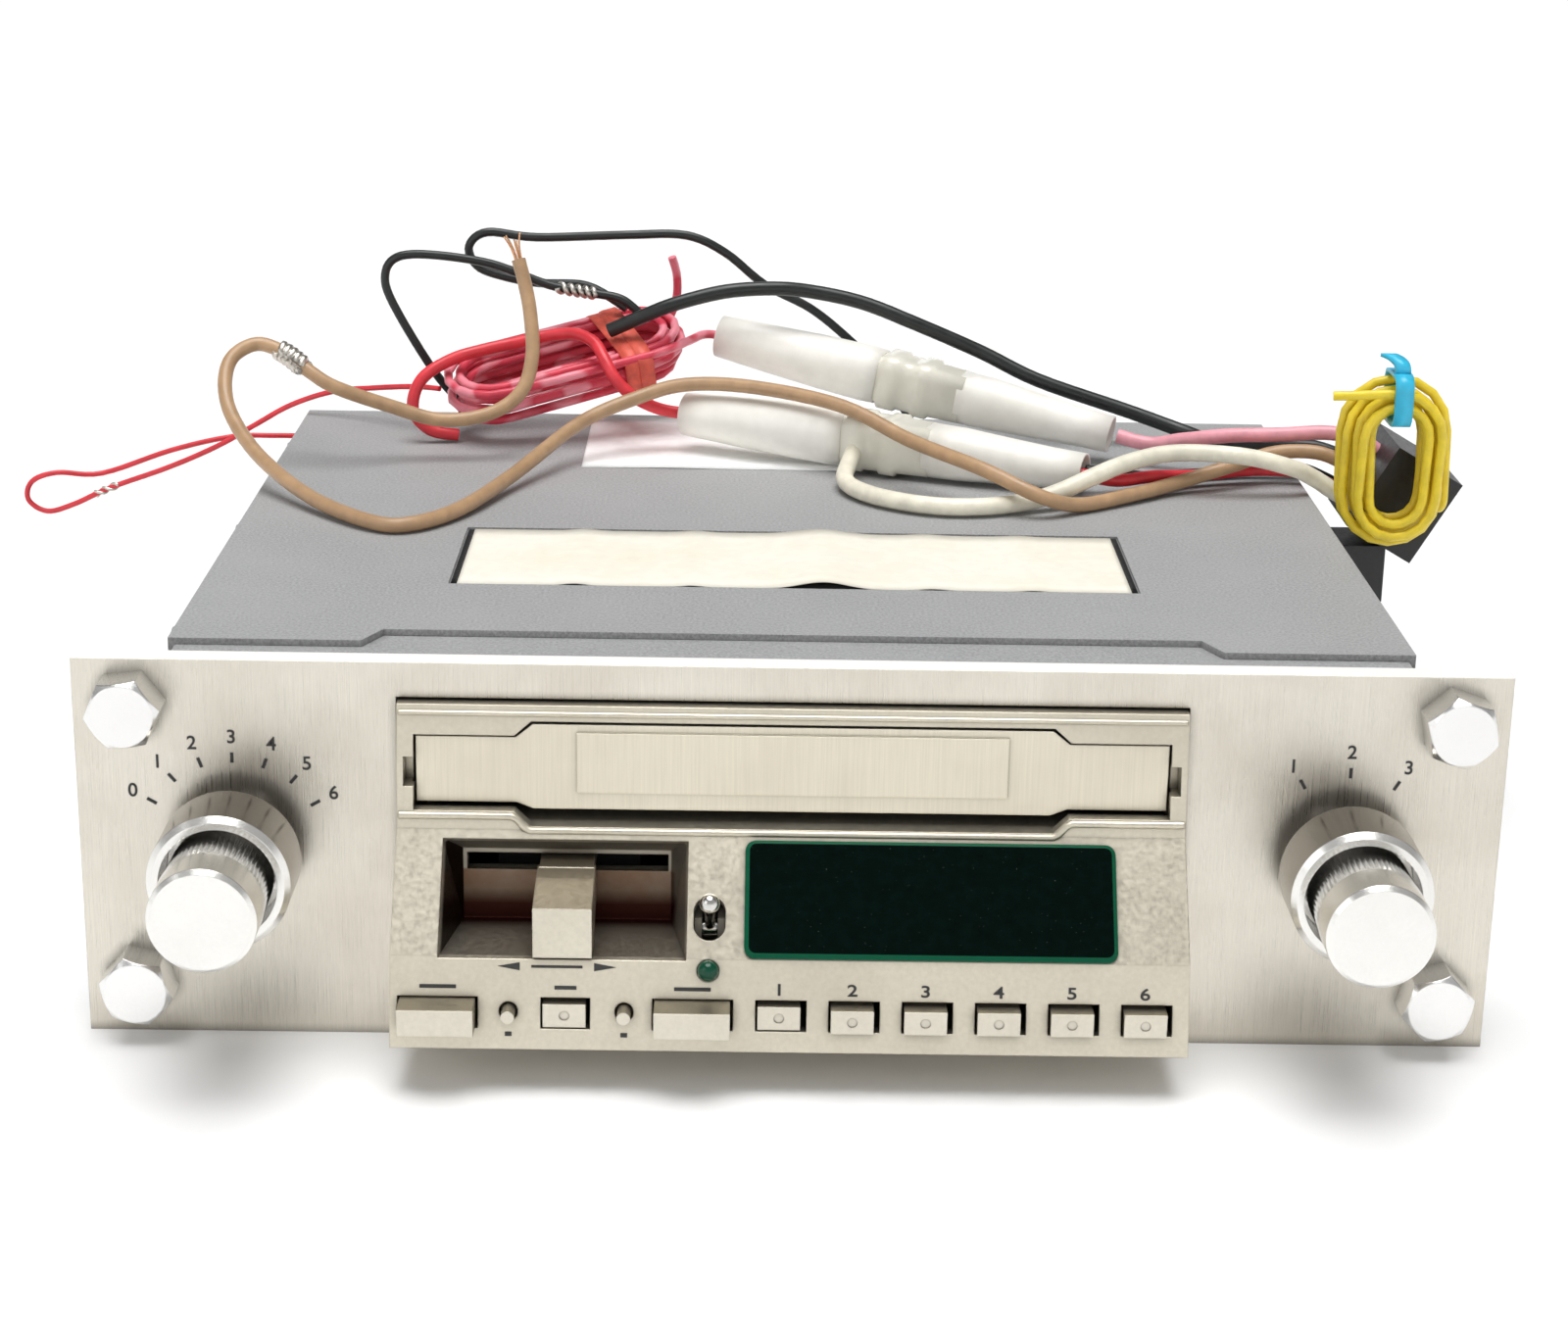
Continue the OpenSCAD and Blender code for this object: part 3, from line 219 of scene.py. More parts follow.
FINISH = {
    "case_paint": dict(color=(0.34, 0.342, 0.345), rough=0.5, grain=2200, vary=0.3, bump=0.5,
                       grime=(0.42, 0.42, 0.42), grime_amount=0.3, crevice_shade=0.4, specks=0.25),
    "screw_steel": dict(color=(0.5, 0.5, 0.5), metallic=1, rough=0.35),
    "brushed_plate": dict(color=(0.69, 0.65, 0.575), metallic=1, rough=0.3, grain=1,
                          stretch=(9000, 9000, 90), vary=0.09, rough_vary=0.06, bump=0.2,
                          grime=(0.44, 0.39, 0.32), grime_amount=0.4, crevice_shade=0.8),
    "bolt_bright": dict(color=(0.86, 0.855, 0.845), metallic=1, rough=0.2, grain=3000, vary=0.03,
                        rough_vary=0.03, bump=0.03, edge=0.25, grime=(0.6, 0.59, 0.57),
                        grime_amount=0.2),
    "panel_silver": dict(SATIN, color=(0.66, 0.61, 0.5), vary=0.06, grime=(0.4, 0.35, 0.28),
                         grime_amount=0.3, crevice_shade=0.85),
    "key_silver": dict(SATIN, color=(0.66, 0.62, 0.53), vary=0.05, grime=(0.45, 0.41, 0.34),
                       grime_amount=0.25, crevice_shade=0.6),
    "lever_silver": dict(SATIN, color=(0.66, 0.62, 0.52), vary=0.06, grime=(0.4, 0.35, 0.28),
                         grime_amount=0.3, crevice_shade=0.6),
    "door_silver": dict(color=(0.7, 0.65, 0.53), metallic=0.9, rough=0.36, grain=1,
                        stretch=(5200, 5200, 90), vary=0.06, bump=0.08, edge=0.25,
                        grime=(0.5, 0.45, 0.36), grime_amount=0.35, crevice_shade=0.6),
    "slot_black": dict(color=(0.004, 0.004, 0.004), rough=0.7, vary=0.3, specular=0.05),
    "window_green": dict(color=(0.0004, 0.004, 0.0028), rough=0.12, grain=600, vary=0.3,
                         rough_vary=0.04, bump=0.02, edge=0.2, specks=0.08, specular=0.06),
    "lens_green": dict(color=(0.001, 0.055, 0.028), rough=0.08, rough_vary=0.03, bump=0.02, coat=0.2,
                       specular=0.25),
    "knob_bright": TURNED,
    "ring_bright": TURNED,
    "toggle_chrome": dict(color=(0.62, 0.61, 0.59), metallic=1, rough=0.12, rough_vary=0.05, bump=0.03),
    "board_green": dict(color=(0.05, 0.12, 0.04), rough=0.45, grain=500, vary=0.3),
    "dark_plastic": dict(color=(0.016, 0.016, 0.017), rough=0.42, grain=1300, vary=0.2, bump=0.2),
    "pulley_brass": dict(color=(0.7, 0.52, 0.22), metallic=1, rough=0.3),
    "belt_rubber": dict(color=(0.02, 0.02, 0.02), rough=0.7, grain=700, vary=0.25),
    "tie_plastic": dict(color=(0.04, 0.5, 0.74), rough=0.35, grain=500, bump=0.08),
    "boot_nylon": dict(color=(0.92, 0.9, 0.84), rough=0.36, grain=300, vary=0.04, bump=0.05,
                       grime=(0.72, 0.68, 0.56), grime_amount=0.3),
    "clear_plastic": dict(color=(0.8, 0.78, 0.68), rough=0.18, grain=200, vary=0.06, coat=0.4),
    "wire_brown": vinyl((0.46, 0.29, 0.16)),
    "wire_black": vinyl((0.012, 0.015, 0.014), 0.25),
    "wire_white": vinyl((0.84, 0.8, 0.66)),
    "wire_pink": vinyl((0.82, 0.36, 0.42)),
    "wire_red": vinyl((0.7, 0.035, 0.05)),
    "wire_yellow": vinyl((0.82, 0.62, 0.03)),
    "hank_red": vinyl((0.68, 0.05, 0.09)),
    "wrap_red": dict(color=(0.74, 0.12, 0.08), rough=0.5, grain=700, vary=0.15, bump=0.3),
    "tin": dict(color=(0.66, 0.62, 0.56), metallic=1, rough=0.35, grain=1800, vary=0.2),
    "copper": dict(color=(0.72, 0.4, 0.22), metallic=1, rough=0.35, grain=1800, vary=0.2),
    "paper": dict(color=(0.83, 0.8, 0.7), rough=0.75, grain=420, vary=0.04, bump=0.2,
                  grime=(0.74, 0.64, 0.46), grime_amount=0.35),
    "grey_paper": dict(color=(0.95, 0.95, 0.94), rough=0.7, grain=420, vary=0.06, bump=0.2,
                       grime=(0.85, 0.85, 0.83), grime_amount=0.3),
    "shadow_sheet_black": dict(color=(0.02, 0.02, 0.02), rough=0.7, grain=700, vary=0.3),
    "legend_ink": dict(color=(0.03, 0.03, 0.03), vary=0.3),
    "floor_white": dict(color=(0.92, 0.92, 0.92), rough=0.6, grain=40, vary=0.01, bump=0, edge=0),
}
MATERIAL = {name: surface(name, **finish) for name, finish in FINISH.items()}


# Masks for where a finish changes, 1 where it does
def turned_to(tree, direction, start, end):
    """1 where a face looks along a direction, 0 where it turns away from it."""
    normal = tree.nodes.new("ShaderNodeTexCoord").outputs["Normal"]
    dot = tree.nodes.new("ShaderNodeVectorMath")
    dot.operation = "DOT_PRODUCT"
    dot.inputs[1].default_value = direction
    tree.links.new(normal, dot.inputs[0])
    return spread(tree, dot.outputs["Value"], 0, 1, start, end)


def turned_from(tree, direction, start, end):
    return math_node(tree, "SUBTRACT", 1, turned_to(tree, direction, start, end))


# The lever's recess: painted shade inside, deeper painted shade on its left wall and along the foot of
# its back wall, and a brown stain on the back wall
def recess_box(tree):
    return inside_box(tree, at(-48, -14.6, 18.5), at(-14.7, -1.8, 31.5), 0.0002)


def in_recess(tree):
    return math_node(tree, "MULTIPLY", recess_box(tree), 0.72)


def on_left_wall(tree):
    return math_node(tree, "MULTIPLY", recess_box(tree), turned_to(tree, (1, 0, 0), 0.4, 0.7))


def on_back_wall(tree):
    wall = inside_box(tree, at(-46.5, -3, 19), at(-16.5, -1.5, 26.2), 0.0004)
    return math_node(tree, "MULTIPLY", wall, spread(tree, noise(tree, 160), 0.6, 0.95))


def along_foot(tree):
    return inside_box(tree, at(-46.5, -3, 19), at(-16.5, -1.5, 21.2), 0.0022)


def beside_toggle(tree):
    return inside_box(tree, at(-14.5, -12, 14), at(-8, 0, 27), 0.0005)


def rim_of_window(tree):
    return turned_from(tree, (0, -math.cos(SLANT), math.sin(SLANT)), 0.9, 0.98)


def side_of_ring(tree):
    return turned_from(tree, FRONT, 0.2, 0.5)


def side_of_key(tree):
    return turned_from(tree, FRONT, 0.5, 0.8)


def top_edge(tree):
    return turned_to(tree, (0, 0, 1), 0.5, 0.9)


def faded(tree):
    return spread(tree, noise(tree, 130, detail=1), 0, 1, 0.5, 0.58)


SECOND_COLORS = [
    # painted shade in the recess, on its left wall and along the foot of its back wall; the brown on the
    # back wall is a stain
    ("panel_silver", in_recess, (0.17, 0.15, 0.125)),
    ("panel_silver", on_back_wall, (0.15, 0.08, 0.045)),
    ("panel_silver", along_foot, (0.05, 0.012, 0.008)),
    ("panel_silver", on_left_wall, (0.02, 0.011, 0.006)),
    ("board_green", beside_toggle, (0.3, 0.28, 0.24)),
    # painted shade on the faces of the keys and the lever that turn away from the front
    ("key_silver", side_of_key, (0.3, 0.27, 0.21)),
    ("lever_silver", side_of_key, (0.4, 0.35, 0.27)),
    # the plate's upward faces: a cut edge that is really satin, painted near white as a painted highlight
    # of the light from above
    ("brushed_plate", top_edge, (0.95, 0.94, 0.91)),
    # painted dark reflection on the sides of the knob rings
    ("ring_bright", side_of_ring, (0.33, 0.305, 0.27)),
    # painted highlight: the window's bevelled rim is painted lighter green
    ("window_green", rim_of_window, (0.004, 0.09, 0.045)),
    ("hank_red", faded, (0.84, 0.27, 0.33)),
]


def recolor(material, factor_of, color):
    """Lays a second colour over a finish where factor_of(tree) is 1."""
    tree = material.node_tree
    socket = tree.nodes["Principled BSDF"].inputs["Base Color"]
    under = socket.links[0].from_socket
    tree.links.new(mixed(tree, factor_of(tree), under, color), socket)


def dulled(material, factor_of):
    """Takes the metal's mirror off a finish where factor_of(tree) is 1."""
    tree = material.node_tree
    socket = tree.nodes["Principled BSDF"].inputs["Metallic"]
    metal = math_node(tree, "SUBTRACT", 1, factor_of(tree))
    tree.links.new(math_node(tree, "MULTIPLY", metal, socket.default_value), socket)


for finish_name, mask, second in SECOND_COLORS:
    recolor(MATERIAL[finish_name], mask, second)
dulled(MATERIAL["brushed_plate"], top_edge)

# Nodes with a finish of their own in place of their material slot's
OWN_FINISH = {
    "transport_lever": "lever_silver", "lever_carriage": "slot_black", "cassette_door": "door_silver",
    "tone_ring": "ring_bright", "mode_ring": "ring_bright",
}


def dress_frame():
    for entry in frame["record"]["subparts"]:
        finish = OWN_FINISH.get(entry["node"], entry["material_slot"])
        for holder in NODES[entry["node"]].material_slots:
            holder.material = MATERIAL[finish]


# Leads: the same routes and the same curve as the CAD source
def bend(a, b, c, d, t):
    first = c - a
    second = 2 * a - 5 * b + 4 * c - d
    third = 3 * b - a - 3 * c + d
    return 0.5 * (2 * b + first * t + second * t * t + third * t ** 3)


def smooth(points, steps=6):
    points = [Vector(p) for p in points]
    last = len(points) - 1
    path = []
    for i in range(last):
        before = points[max(i - 1, 0)]
        after = points[min(i + 2, last)]
        path += [bend(before, points[i], points[i + 1], after, k / steps) for k in range(steps)]
    return path + [points[last]]


def curve_along(name, path, d, material):
    data = bpy.data.curves.new(name, "CURVE")
    data.dimensions = "3D"
    data.bevel_depth = d / 2 * MM
    data.bevel_resolution = 4
    data.use_fill_caps = True
    line = data.splines.new("POLY")
    line.points.add(len(path) - 1)
    for point, place in zip(line.points, path):
        point.co = (*at(*place), 1)
    data.materials.append(MATERIAL[material])
    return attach(placed(name, data), "case")


def lead(name, path, d, node, with_pieces=(), finish=None):
    slot = next(e["material_slot"] for e in frame["record"]["subparts"] if e["node"] == node)
    piece = curve_along(name, path, d, finish or slot)
    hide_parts(node)
    return piece


WHITE = [
    (97.12, 103.5, 53.35), (93.2, 103.5, 55.6), (89.5, 103, 58), (85.5, 101.5, 60), (77, 101, 62),
    (66, 101.5, 62.3), (58, 98, 61.6), (51, 93.5, 60), (45, 90.5, 58), (39, 88, 56.8), (31, 85, 56.7),
    (23, 85.5, 56.7), (15.5, 90, 56.7), (11, 96, 56.7), (9.5, 102, 57), (10.5, 108, 58.2),
    (11.5, 112.8, 59.5),
]
BROWN = [
    (99.37, 108, 57.25), (96, 108, 59.2), (91, 108.5, 61), (84, 109.5, 60.6), (76, 106, 59),
    (66, 101.5, 57), (57, 94.5, 56.5), (48, 88, 56.5), (41, 84.5, 58.9), (32, 89.5, 62),
    (20.6, 102, 63.6), (9, 112.5, 67), (-6, 121.5, 68), (-18, 125.5, 67.4), (-26.5, 124.5, 65.2),
    (-36.5, 118.5, 61.8), (-46.5, 98.5, 57.6), (-53.7, 80, 56.5), (-60.6, 70.5, 56.4), (-67, 71, 56.4),
    (-78, 82, 57.2), (-88.5, 96, 60.2), (-94.8, 106, 64.6), (-97, 111.5, 69), (-96.4, 116, 73),
    (-92.4, 118.4, 75), (-87.6, 117.4, 73.8), (-83.2, 115.2, 71.2), (-78.4, 114.6, 68.4),
    (-69, 117.3, 64.5), (-60.8, 118.5, 62), (-52.4, 119.5, 63), (-47, 121.5, 66.5), (-45.2, 124.5, 72),
    (-45.6, 128, 78), (-46.6, 130.5, 83), (-48, 132, 88),
]
BLACK = [
    (99.37, 113.5, 57.25), (96, 113.5, 59.2), (91, 115, 60.4), (85, 118, 59.5), (78, 125, 57.8),
    (72, 133.5, 58.2), (61.5, 137, 61.2), (45.4, 138.6, 66.2), (34.6, 140.5, 71), (21.9, 140.5, 76.3),
    (13.1, 141.5, 79.4), (4.3, 141.5, 81.2), (-2.8, 140, 82), (-11.5, 139.5, 81.4), (-20.2, 138.5, 79.3),
    (-25.5, 138.5, 77.2), (-32.4, 139, 74),
]
SHORT_BLACK = [
    (97.12, 113, 53.35), (93.6, 113, 55.4), (88.5, 113.5, 57), (80, 113.5, 56.3), (70, 110.5, 56.3),
    (62, 106, 56.8), (56, 102.3, 58.4), (50.5, 101.3, 59),
]
RED = [
    (97.12, 108.5, 53.35), (93.6, 108.5, 55.4), (88.5, 109.5, 57.2), (80, 109.8, 57.4), (70, 106.8, 57),
    (62, 102.2, 57.9), (55.5, 98.4, 58.1), (49.3, 98.9, 59),
]
RED_LEFT = [
    (-18.2, 128.2, 61.5), (-22.8, 127.6, 62.4), (-27.4, 127.2, 64.6), (-30.8, 127.8, 67.8),
    (-32.8, 130, 70.8), (-34.8, 133.6, 73), (-38.5, 137, 73.8), (-43.5, 138.6, 73), (-49, 138, 71.8),
    (-54.5, 136.5, 70.8), (-60.5, 134.8, 69.2), (-65.6, 132.4, 66), (-67, 130.6, 61), (-64, 130.2, 57.4),
    (-59, 131, 56.3),
]
PINK = [
    (101.62, 110.5, 61.15), (98.2, 110.7, 63.1), (93, 112, 63.7), (85.6, 113, 63), (77, 115, 62.2),
    (69, 118.5, 60.4), (63.8, 120.7, 59.1), (58.2, 122.5, 60),
]
THIN_BLACK = [
    (-56, 151.5, 56.2), (-60, 149.5, 58), (-65, 147, 64.5), (-72, 146, 77), (-73.3, 146, 82.3),
    (-71, 146, 85.5), (-64.7, 146, 86), (-54, 146, 84.5), (-43.5, 146, 80.8), (-36, 145.5, 79.6),
    (-30.5, 144.8, 78.7), (-26.8, 144.2, 76),
]
FAR_BLACK = [
    (-29.5, 147, 76.5), (-36.8, 149, 80.2), (-45.7, 150, 80.4), (-52.5, 150, 81.6), (-57, 150, 83.4),
    (-58.4, 150, 87), (-55, 150, 89.6), (-46, 150, 88.8), (-29.6, 150, 89.5), (-18.9, 150, 89.6),
    (-11.7, 150, 86.5), (-4.5, 150, 80.8), (4, 150, 76.5), (11, 150, 71), (17, 150, 65), (21, 149.5, 59),
    (23, 149, 56.2),
]
THIN_RED = [
    (-63, 138.5, 63), (-68, 142, 62.5), (-76, 147, 61), (-84, 150, 59.5), (-92, 151.5, 56.5),
    (-99, 151.5, 52.5), (-106, 151, 48.5), (-115, 150.5, 44.5), (-126, 150, 40.5), (-133, 150, 37.2),
    (-138, 150, 35.8), (-141.4, 150, 38), (-140.6, 150.4, 41.4), (-136, 151, 43), (-128, 153, 42.5),
    (-115, 153.5, 47), (-104, 154.5, 49.5), (-96, 156, 49.5), (-90, 157.5, 49), (-82, 155.2, 48.5),
]


def make_leads(boots):
    joint = splice("brown_splice", smooth(BROWN), (-88.5, 117.7, 74.2), (-84, 115.5, 71.6), 2.5, "tin")
    fray = frayed_end("brown_strands", smooth(BROWN), 4.5, 7, 1.1, "copper")
    black_joint = splice("black_splice", smooth(THIN_BLACK), (-42.5, 146, 80.6), (-35, 145.4, 79.5), 1.6,
                         "tin")
    red_joint = splice("red_splice", smooth(THIN_RED), (-129, 150, 39.2), (-124, 150, 41.2), 1, "tin")
    lead("white_wire", smooth(WHITE), 3, "white_lead", with_pieces=[boots["lower_plug"]])
    lead("brown_wire", smooth(BROWN), 2.5, "brown_lead", with_pieces=[joint, fray])
    lead("black_wire", smooth(BLACK), 2.6, "black_leads")
    lead("short_black_wire", smooth(SHORT_BLACK), 2, "black_leads",
         with_pieces=[boots["lower_right_sleeve"]])
    lead("red_wire", smooth(RED), 2.2, "red_leads", with_pieces=[boots["lower_right_sleeve"]])
    lead("red_left_wire", smooth(RED_LEFT), 2.2, "red_leads")
    lead("pink_wire", smooth(PINK), 2.6, "pink_lead",
         with_pieces=[boots["upper_right_sleeve"]])
    lead("thin_black_wire", smooth(THIN_BLACK), 1.6, "thin_black_leads", with_pieces=[black_joint])
    lead("far_black_wire", smooth(FAR_BLACK)[::-1], 1.6, "thin_black_leads")
    lead("thin_red_wire", smooth(THIN_RED), 1, "thin_red_lead", with_pieces=[red_joint])


# Hanks: flat loops in layers, going in on even layers and out on odd ones, as in the CAD source
HANK_D = 1.6
HANK_RINGS = 24
HANK_LAYERS = 4


def loop_radius(turn, r_in, pitch):
    layer = min(math.floor(turn / 2), HANK_LAYERS - 1)
    along = turn - 2 * layer
    return r_in + pitch * (2 - along if layer % 2 == 0 else along)


def climb(turn, start):
    return min(max(2 * (turn - start) + 0.5, 0), 1)


def loop_height(turn, pitch):
    return pitch * (climb(turn, 2) + climb(turn, 4) + climb(turn, 6) - 1.5)


def loop_point(turn, half_run, r):
    s = HANK_RINGS * (turn - math.floor(turn))
    if s < 4:
        return half_run * (s / 2 - 1), -r
    if s < 12:
        angle = math.radians(22.5 * s - 180)
        return half_run + r * math.cos(angle), r * math.sin(angle)
    if s < 16:
        return half_run * (7 - s / 2), r
    angle = math.radians(22.5 * s - 270)
    return -half_run + r * math.cos(angle), r * math.sin(angle)


def hank_path(first, last, half_run, r_in, pitch):
    path = []
    for ring in range(first, last + 1):
        turn = ring / HANK_RINGS
        u, v = loop_point(turn, half_run, loop_radius(turn, r_in, pitch))
        path.append(Vector((u, v, loop_height(turn, pitch))))
    return path


RED_AT = Vector((-40, 141, 67))
RED_TURN = (Matrix.Rotation(math.radians(18), 3, "Z") @ Matrix.Rotation(math.radians(-12), 3, "Y")
            @ Matrix.Rotation(math.radians(15), 3, "X"))
RED_HALF = 13.2
RED_INNER = 4.8
RED_PITCH = 2.15
YELLOW_AT = Vector((100.8, 92.5, 63))


def red_hank_path():
    loops = hank_path(12, 196, RED_HALF, RED_INNER, RED_PITCH)
    r = loop_radius(0.5, RED_INNER, RED_PITCH)
    low = loop_height(0, RED_PITCH)
    start = [
        (RED_HALF + 12.5, 13, 9), (RED_HALF + 12.8, 12.4, 5), (RED_HALF + 11.5, 11.2, 0.5),
        (RED_HALF + 8, 9.4, low + 0.4), (RED_HALF + 4, r + 0.2, low), (RED_HALF, r, low),
    ]
    end = [
        loops[-1], (RED_HALF + 4.3, -9, 3.3), (RED_HALF + 8.3, -6.6, 2.4), (RED_HALF + 11.8, -3.8, 1.2),
        (RED_HALF + 14.4, -3.8, 0.4), (RED_HALF + 16.3, -5.2, 0),
    ]
    path = smooth(start)[:-1] + loops + smooth(end)[1:]
    return [RED_AT + RED_TURN @ p for p in path]


def yellow_hank_path():
    loops = [YELLOW_AT + Vector((p.y, p.z, p.x)) for p in hank_path(8, 208, 5.2, 4, 2.1)]
    first = loops[0]
    start = [(89.5, 90, 75.2), (93, 89.6, 75.4), (97, first.y, first.z), first]
    end = [loops[-1], (110.4, 95.7, 56), (110.2, 96.6, 54.7), (110, 98.2, 54.4), (109.8, 100.2, 54.4)]
    return smooth(start)[:-1] + loops + smooth(end)[1:]


def make_hanks():
    lead("red_hank_wire", red_hank_path()[::-1], HANK_D, "red_hank",
         with_pieces=[make_red_wrap()], finish="hank_red")
    lead("yellow_hank_wire", yellow_hank_path()[::-1], HANK_D, "yellow_hank",
         with_pieces=[make_blue_tie()])


# Mesh builders
def mesh_piece(name, mesh, material):
    """A finished piece from a bmesh, riding on the case."""
    data = bpy.data.meshes.new(name)
    mesh.normal_update()
    mesh.to_mesh(data)
    mesh.free()
    data.materials.append(MATERIAL[material])
    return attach(placed(name, data), "case")


def skin(mesh, rings, closed=False):
    """Joins rings of equal count into a capped tube; a closed one runs back into its first ring."""
    rows = [[mesh.verts.new(p) for p in ring] for ring in rings]
    count = len(rows[0])
    pairs = list(zip(rows, rows[1:])) + ([(rows[-1], rows[0])] if closed else [])
    for low, high in pairs:
        for k in range(count):
            n = (k + 1) % count
            mesh.faces.new((low[k], low[n], high[n], high[k])).smooth = True
    if not closed:
        mesh.faces.new(rows[0][::-1])
        mesh.faces.new(rows[-1])
    bmesh.ops.recalc_face_normals(mesh, faces=mesh.faces)


# In-line connectors: two milky sleeves pushed over a clear plug
BOOTS = {
    "lower": (Vector((-18.2, 128.2, 61.5)), Vector((49.9, 100.1, 59))),
    "upper": (Vector((-12.4, 145.5, 72)), Vector((58.2, 122.5, 60))),
}
BOOT_SIDES = 40

# Rings along a boot's axis, as (distance, radius, squareness)
LEFT_SLEEVE = [
    (6, 2.6, 2), (0, 3, 2), (0, 3.8, 2), (5, 4.1, 2), (12, 4.5, 2), (20, 4.8, 2.3), (28, 4.9, 2.7),
    (31, 4.7, 3), (31, 3.9, 3),
]
RIGHT_SLEEVE = [
    (46, 3.8, 3), (46, 4.5, 3), (52, 4.5, 2.6), (60, 4, 2.2), (68, 3.5, 2), (74, 3.3, 2), (74, 2.8, 2),
    (70, 2.6, 2),
]
PLUG = [
    (29, 3.4, 3), (29, 4.1, 4), (31.5, 4.3, 5), (32, 4.9, 6), (35, 4.9, 6), (35.5, 4.5, 6), (38, 4.5, 6),
    (38.5, 4.9, 6), (41, 4.9, 6), (41.5, 4.4, 6), (47, 4.3, 5), (47, 3.4, 3),
]
BOOT_PARTS = [
    ("left_sleeve", LEFT_SLEEVE, "boot_nylon"),
    ("plug", PLUG, "clear_plastic"),
    ("right_sleeve", RIGHT_SLEEVE, "boot_nylon"),
]


def squarish(turn, power):
    """A point of a loop of half width 1: a power of 2 is round, and more is squarer."""
    c, s = math.cos(turn), math.sin(turn)
    r = 1 / (abs(c) ** power + abs(s) ** power) ** (1 / power)
    return r * c, r * s


def boot_piece(name, ends, stations, material):
    a, b = ends
    ahead = (b - a).normalized()
    across = ahead.cross(Vector((0, 0, 1))).normalized()
    up = across.cross(ahead)
    rings = []
    for distance, radius, power in stations:
        middle = a + ahead * distance
        ring = []
        for k in range(BOOT_SIDES):
            u, v = squarish(math.tau * k / BOOT_SIDES, power)
            ring.append(at(*(middle + across * (radius * u) + up * (radius * v))))
        rings.append(ring)
    mesh = bmesh.new()
    skin(mesh, rings)
    piece = mesh_piece(name, mesh, material)
    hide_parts("inline_connectors")
    return piece


def make_boots():
    made = {}
    for side, ends in BOOTS.items():
        for part, stations, material in BOOT_PARTS:
            name = side + "_" + part
            made[name] = boot_piece(name, ends, stations, material)
    return made


# Ties: a ribbon carried round a rounded loop
def ribbon(mesh, middle, thick, side, wide, closed=True):
    """A flat strip along a line of points, side being the direction across it."""
    last = len(middle) - 1
    rings = []
    for i, p in enumerate(middle):
        before = middle[i - 1] if closed or i else p
        after = middle[(i + 1) % (last + 1)] if closed or i < last else p
        out = (after - before).cross(side).normalized()
        half, step = side * (wide / 2), out * (thick / 2)
        rings.append([at(*(p + u * half + v * step)) for u, v in ((-1, -1), (1, -1), (1, 1), (-1, 1))])
    skin(mesh, rings, closed=closed)


def rounded_loop(size, power=5, steps=48):
    """Points of a rounded rectangle round the origin, as pairs."""
    loop = []
    for k in range(steps):
        u, v = squarish(math.tau * k / steps, power)
        loop.append((size[0] / 2 * u, size[1] / 2 * v))
    return loop


def make_blue_tie():
    mesh = bmesh.new()
    side = Vector((1, 0, 0))
    middle = YELLOW_AT + Vector((0, 0, 11.6))
    ribbon(mesh, [middle + Vector((0, v, u)) for u, v in rounded_loop((8.2, 9.4))], 0.7, side, 3)
    tail = [(0, -1.5, 4.3), (0, -2, 5), (-0.3, -1.6, 6), (-1, -0.4, 6.6), (-2, 1, 6.9)]
    ribbon(mesh, [middle + p for p in smooth(tail, 4)], 0.6, side, 2.6, closed=False)
    piece = mesh_piece("blue_tie", mesh, "tie_plastic")
    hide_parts("wire_ties")
    return piece


def make_red_wrap():
    """Tape wound a few times round the red hank, each turn a little askew."""
    mesh = bmesh.new()
    for place, lean, grow in ((8.9, 3, 0), (10.3, -4, 0.25), (11.6, 2, 0.5)):
        tilt = RED_TURN @ Matrix.Rotation(math.radians(lean), 3, "Z")
        side = tilt @ Vector((1, 0, 0))
        loop = [RED_AT + RED_TURN @ Vector((place, 0, 0)) + tilt @ Vector((0, v, u))
                for u, v in rounded_loop((8.6 + grow, 20.5 + grow))]
        ribbon(mesh, loop, 0.3, side, 2.7)
    piece = mesh_piece("red_wrap", mesh, "wrap_red")
    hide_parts("wire_ties")
    return piece


# Bare metal on the leads
def nearest(path, place):
    distances = [(p - Vector(place)).length for p in path]
    return distances.index(min(distances))


def strand_tube(mesh, path, r, sides=6):
    rings = []
    for i, p in enumerate(path):
        ahead = (path[min(i + 1, len(path) - 1)] - path[max(i - 1, 0)]).normalized()
        across = ahead.cross(Vector((0.31, 0.17, 0.93))).normalized()
        up = across.cross(ahead)
        ring = []
        for k in range(sides):
            turn = math.tau * k / sides
            ring.append(at(*(p + r * (math.cos(turn) * across + math.sin(turn) * up))))
        rings.append(ring)
    skin(mesh, rings)


def splice(name, path, first, last, d, material):
    """A bare twisted joint: two thin strands wound round a stretch of a lead."""
    low, high = sorted((nearest(path, first), nearest(path, last)))
    stretch = smooth(path[low:high + 1], 6)
    mesh = bmesh.new()
    for start in (0, 0.5):
        strand = []
        for i, p in enumerate(stretch):
            ahead = (stretch[min(i + 1, len(stretch) - 1)] - stretch[max(i - 1, 0)]).normalized()
            across = ahead.cross(Vector((0, 0, 1))).normalized()
            turn = math.tau * (start + i / 14)
            strand.append(p + d / 2 * (math.cos(turn) * across + math.sin(turn) * ahead.cross(across)))
        strand_tube(mesh, strand, d * 0.3)
    return mesh_piece(name, mesh, material)


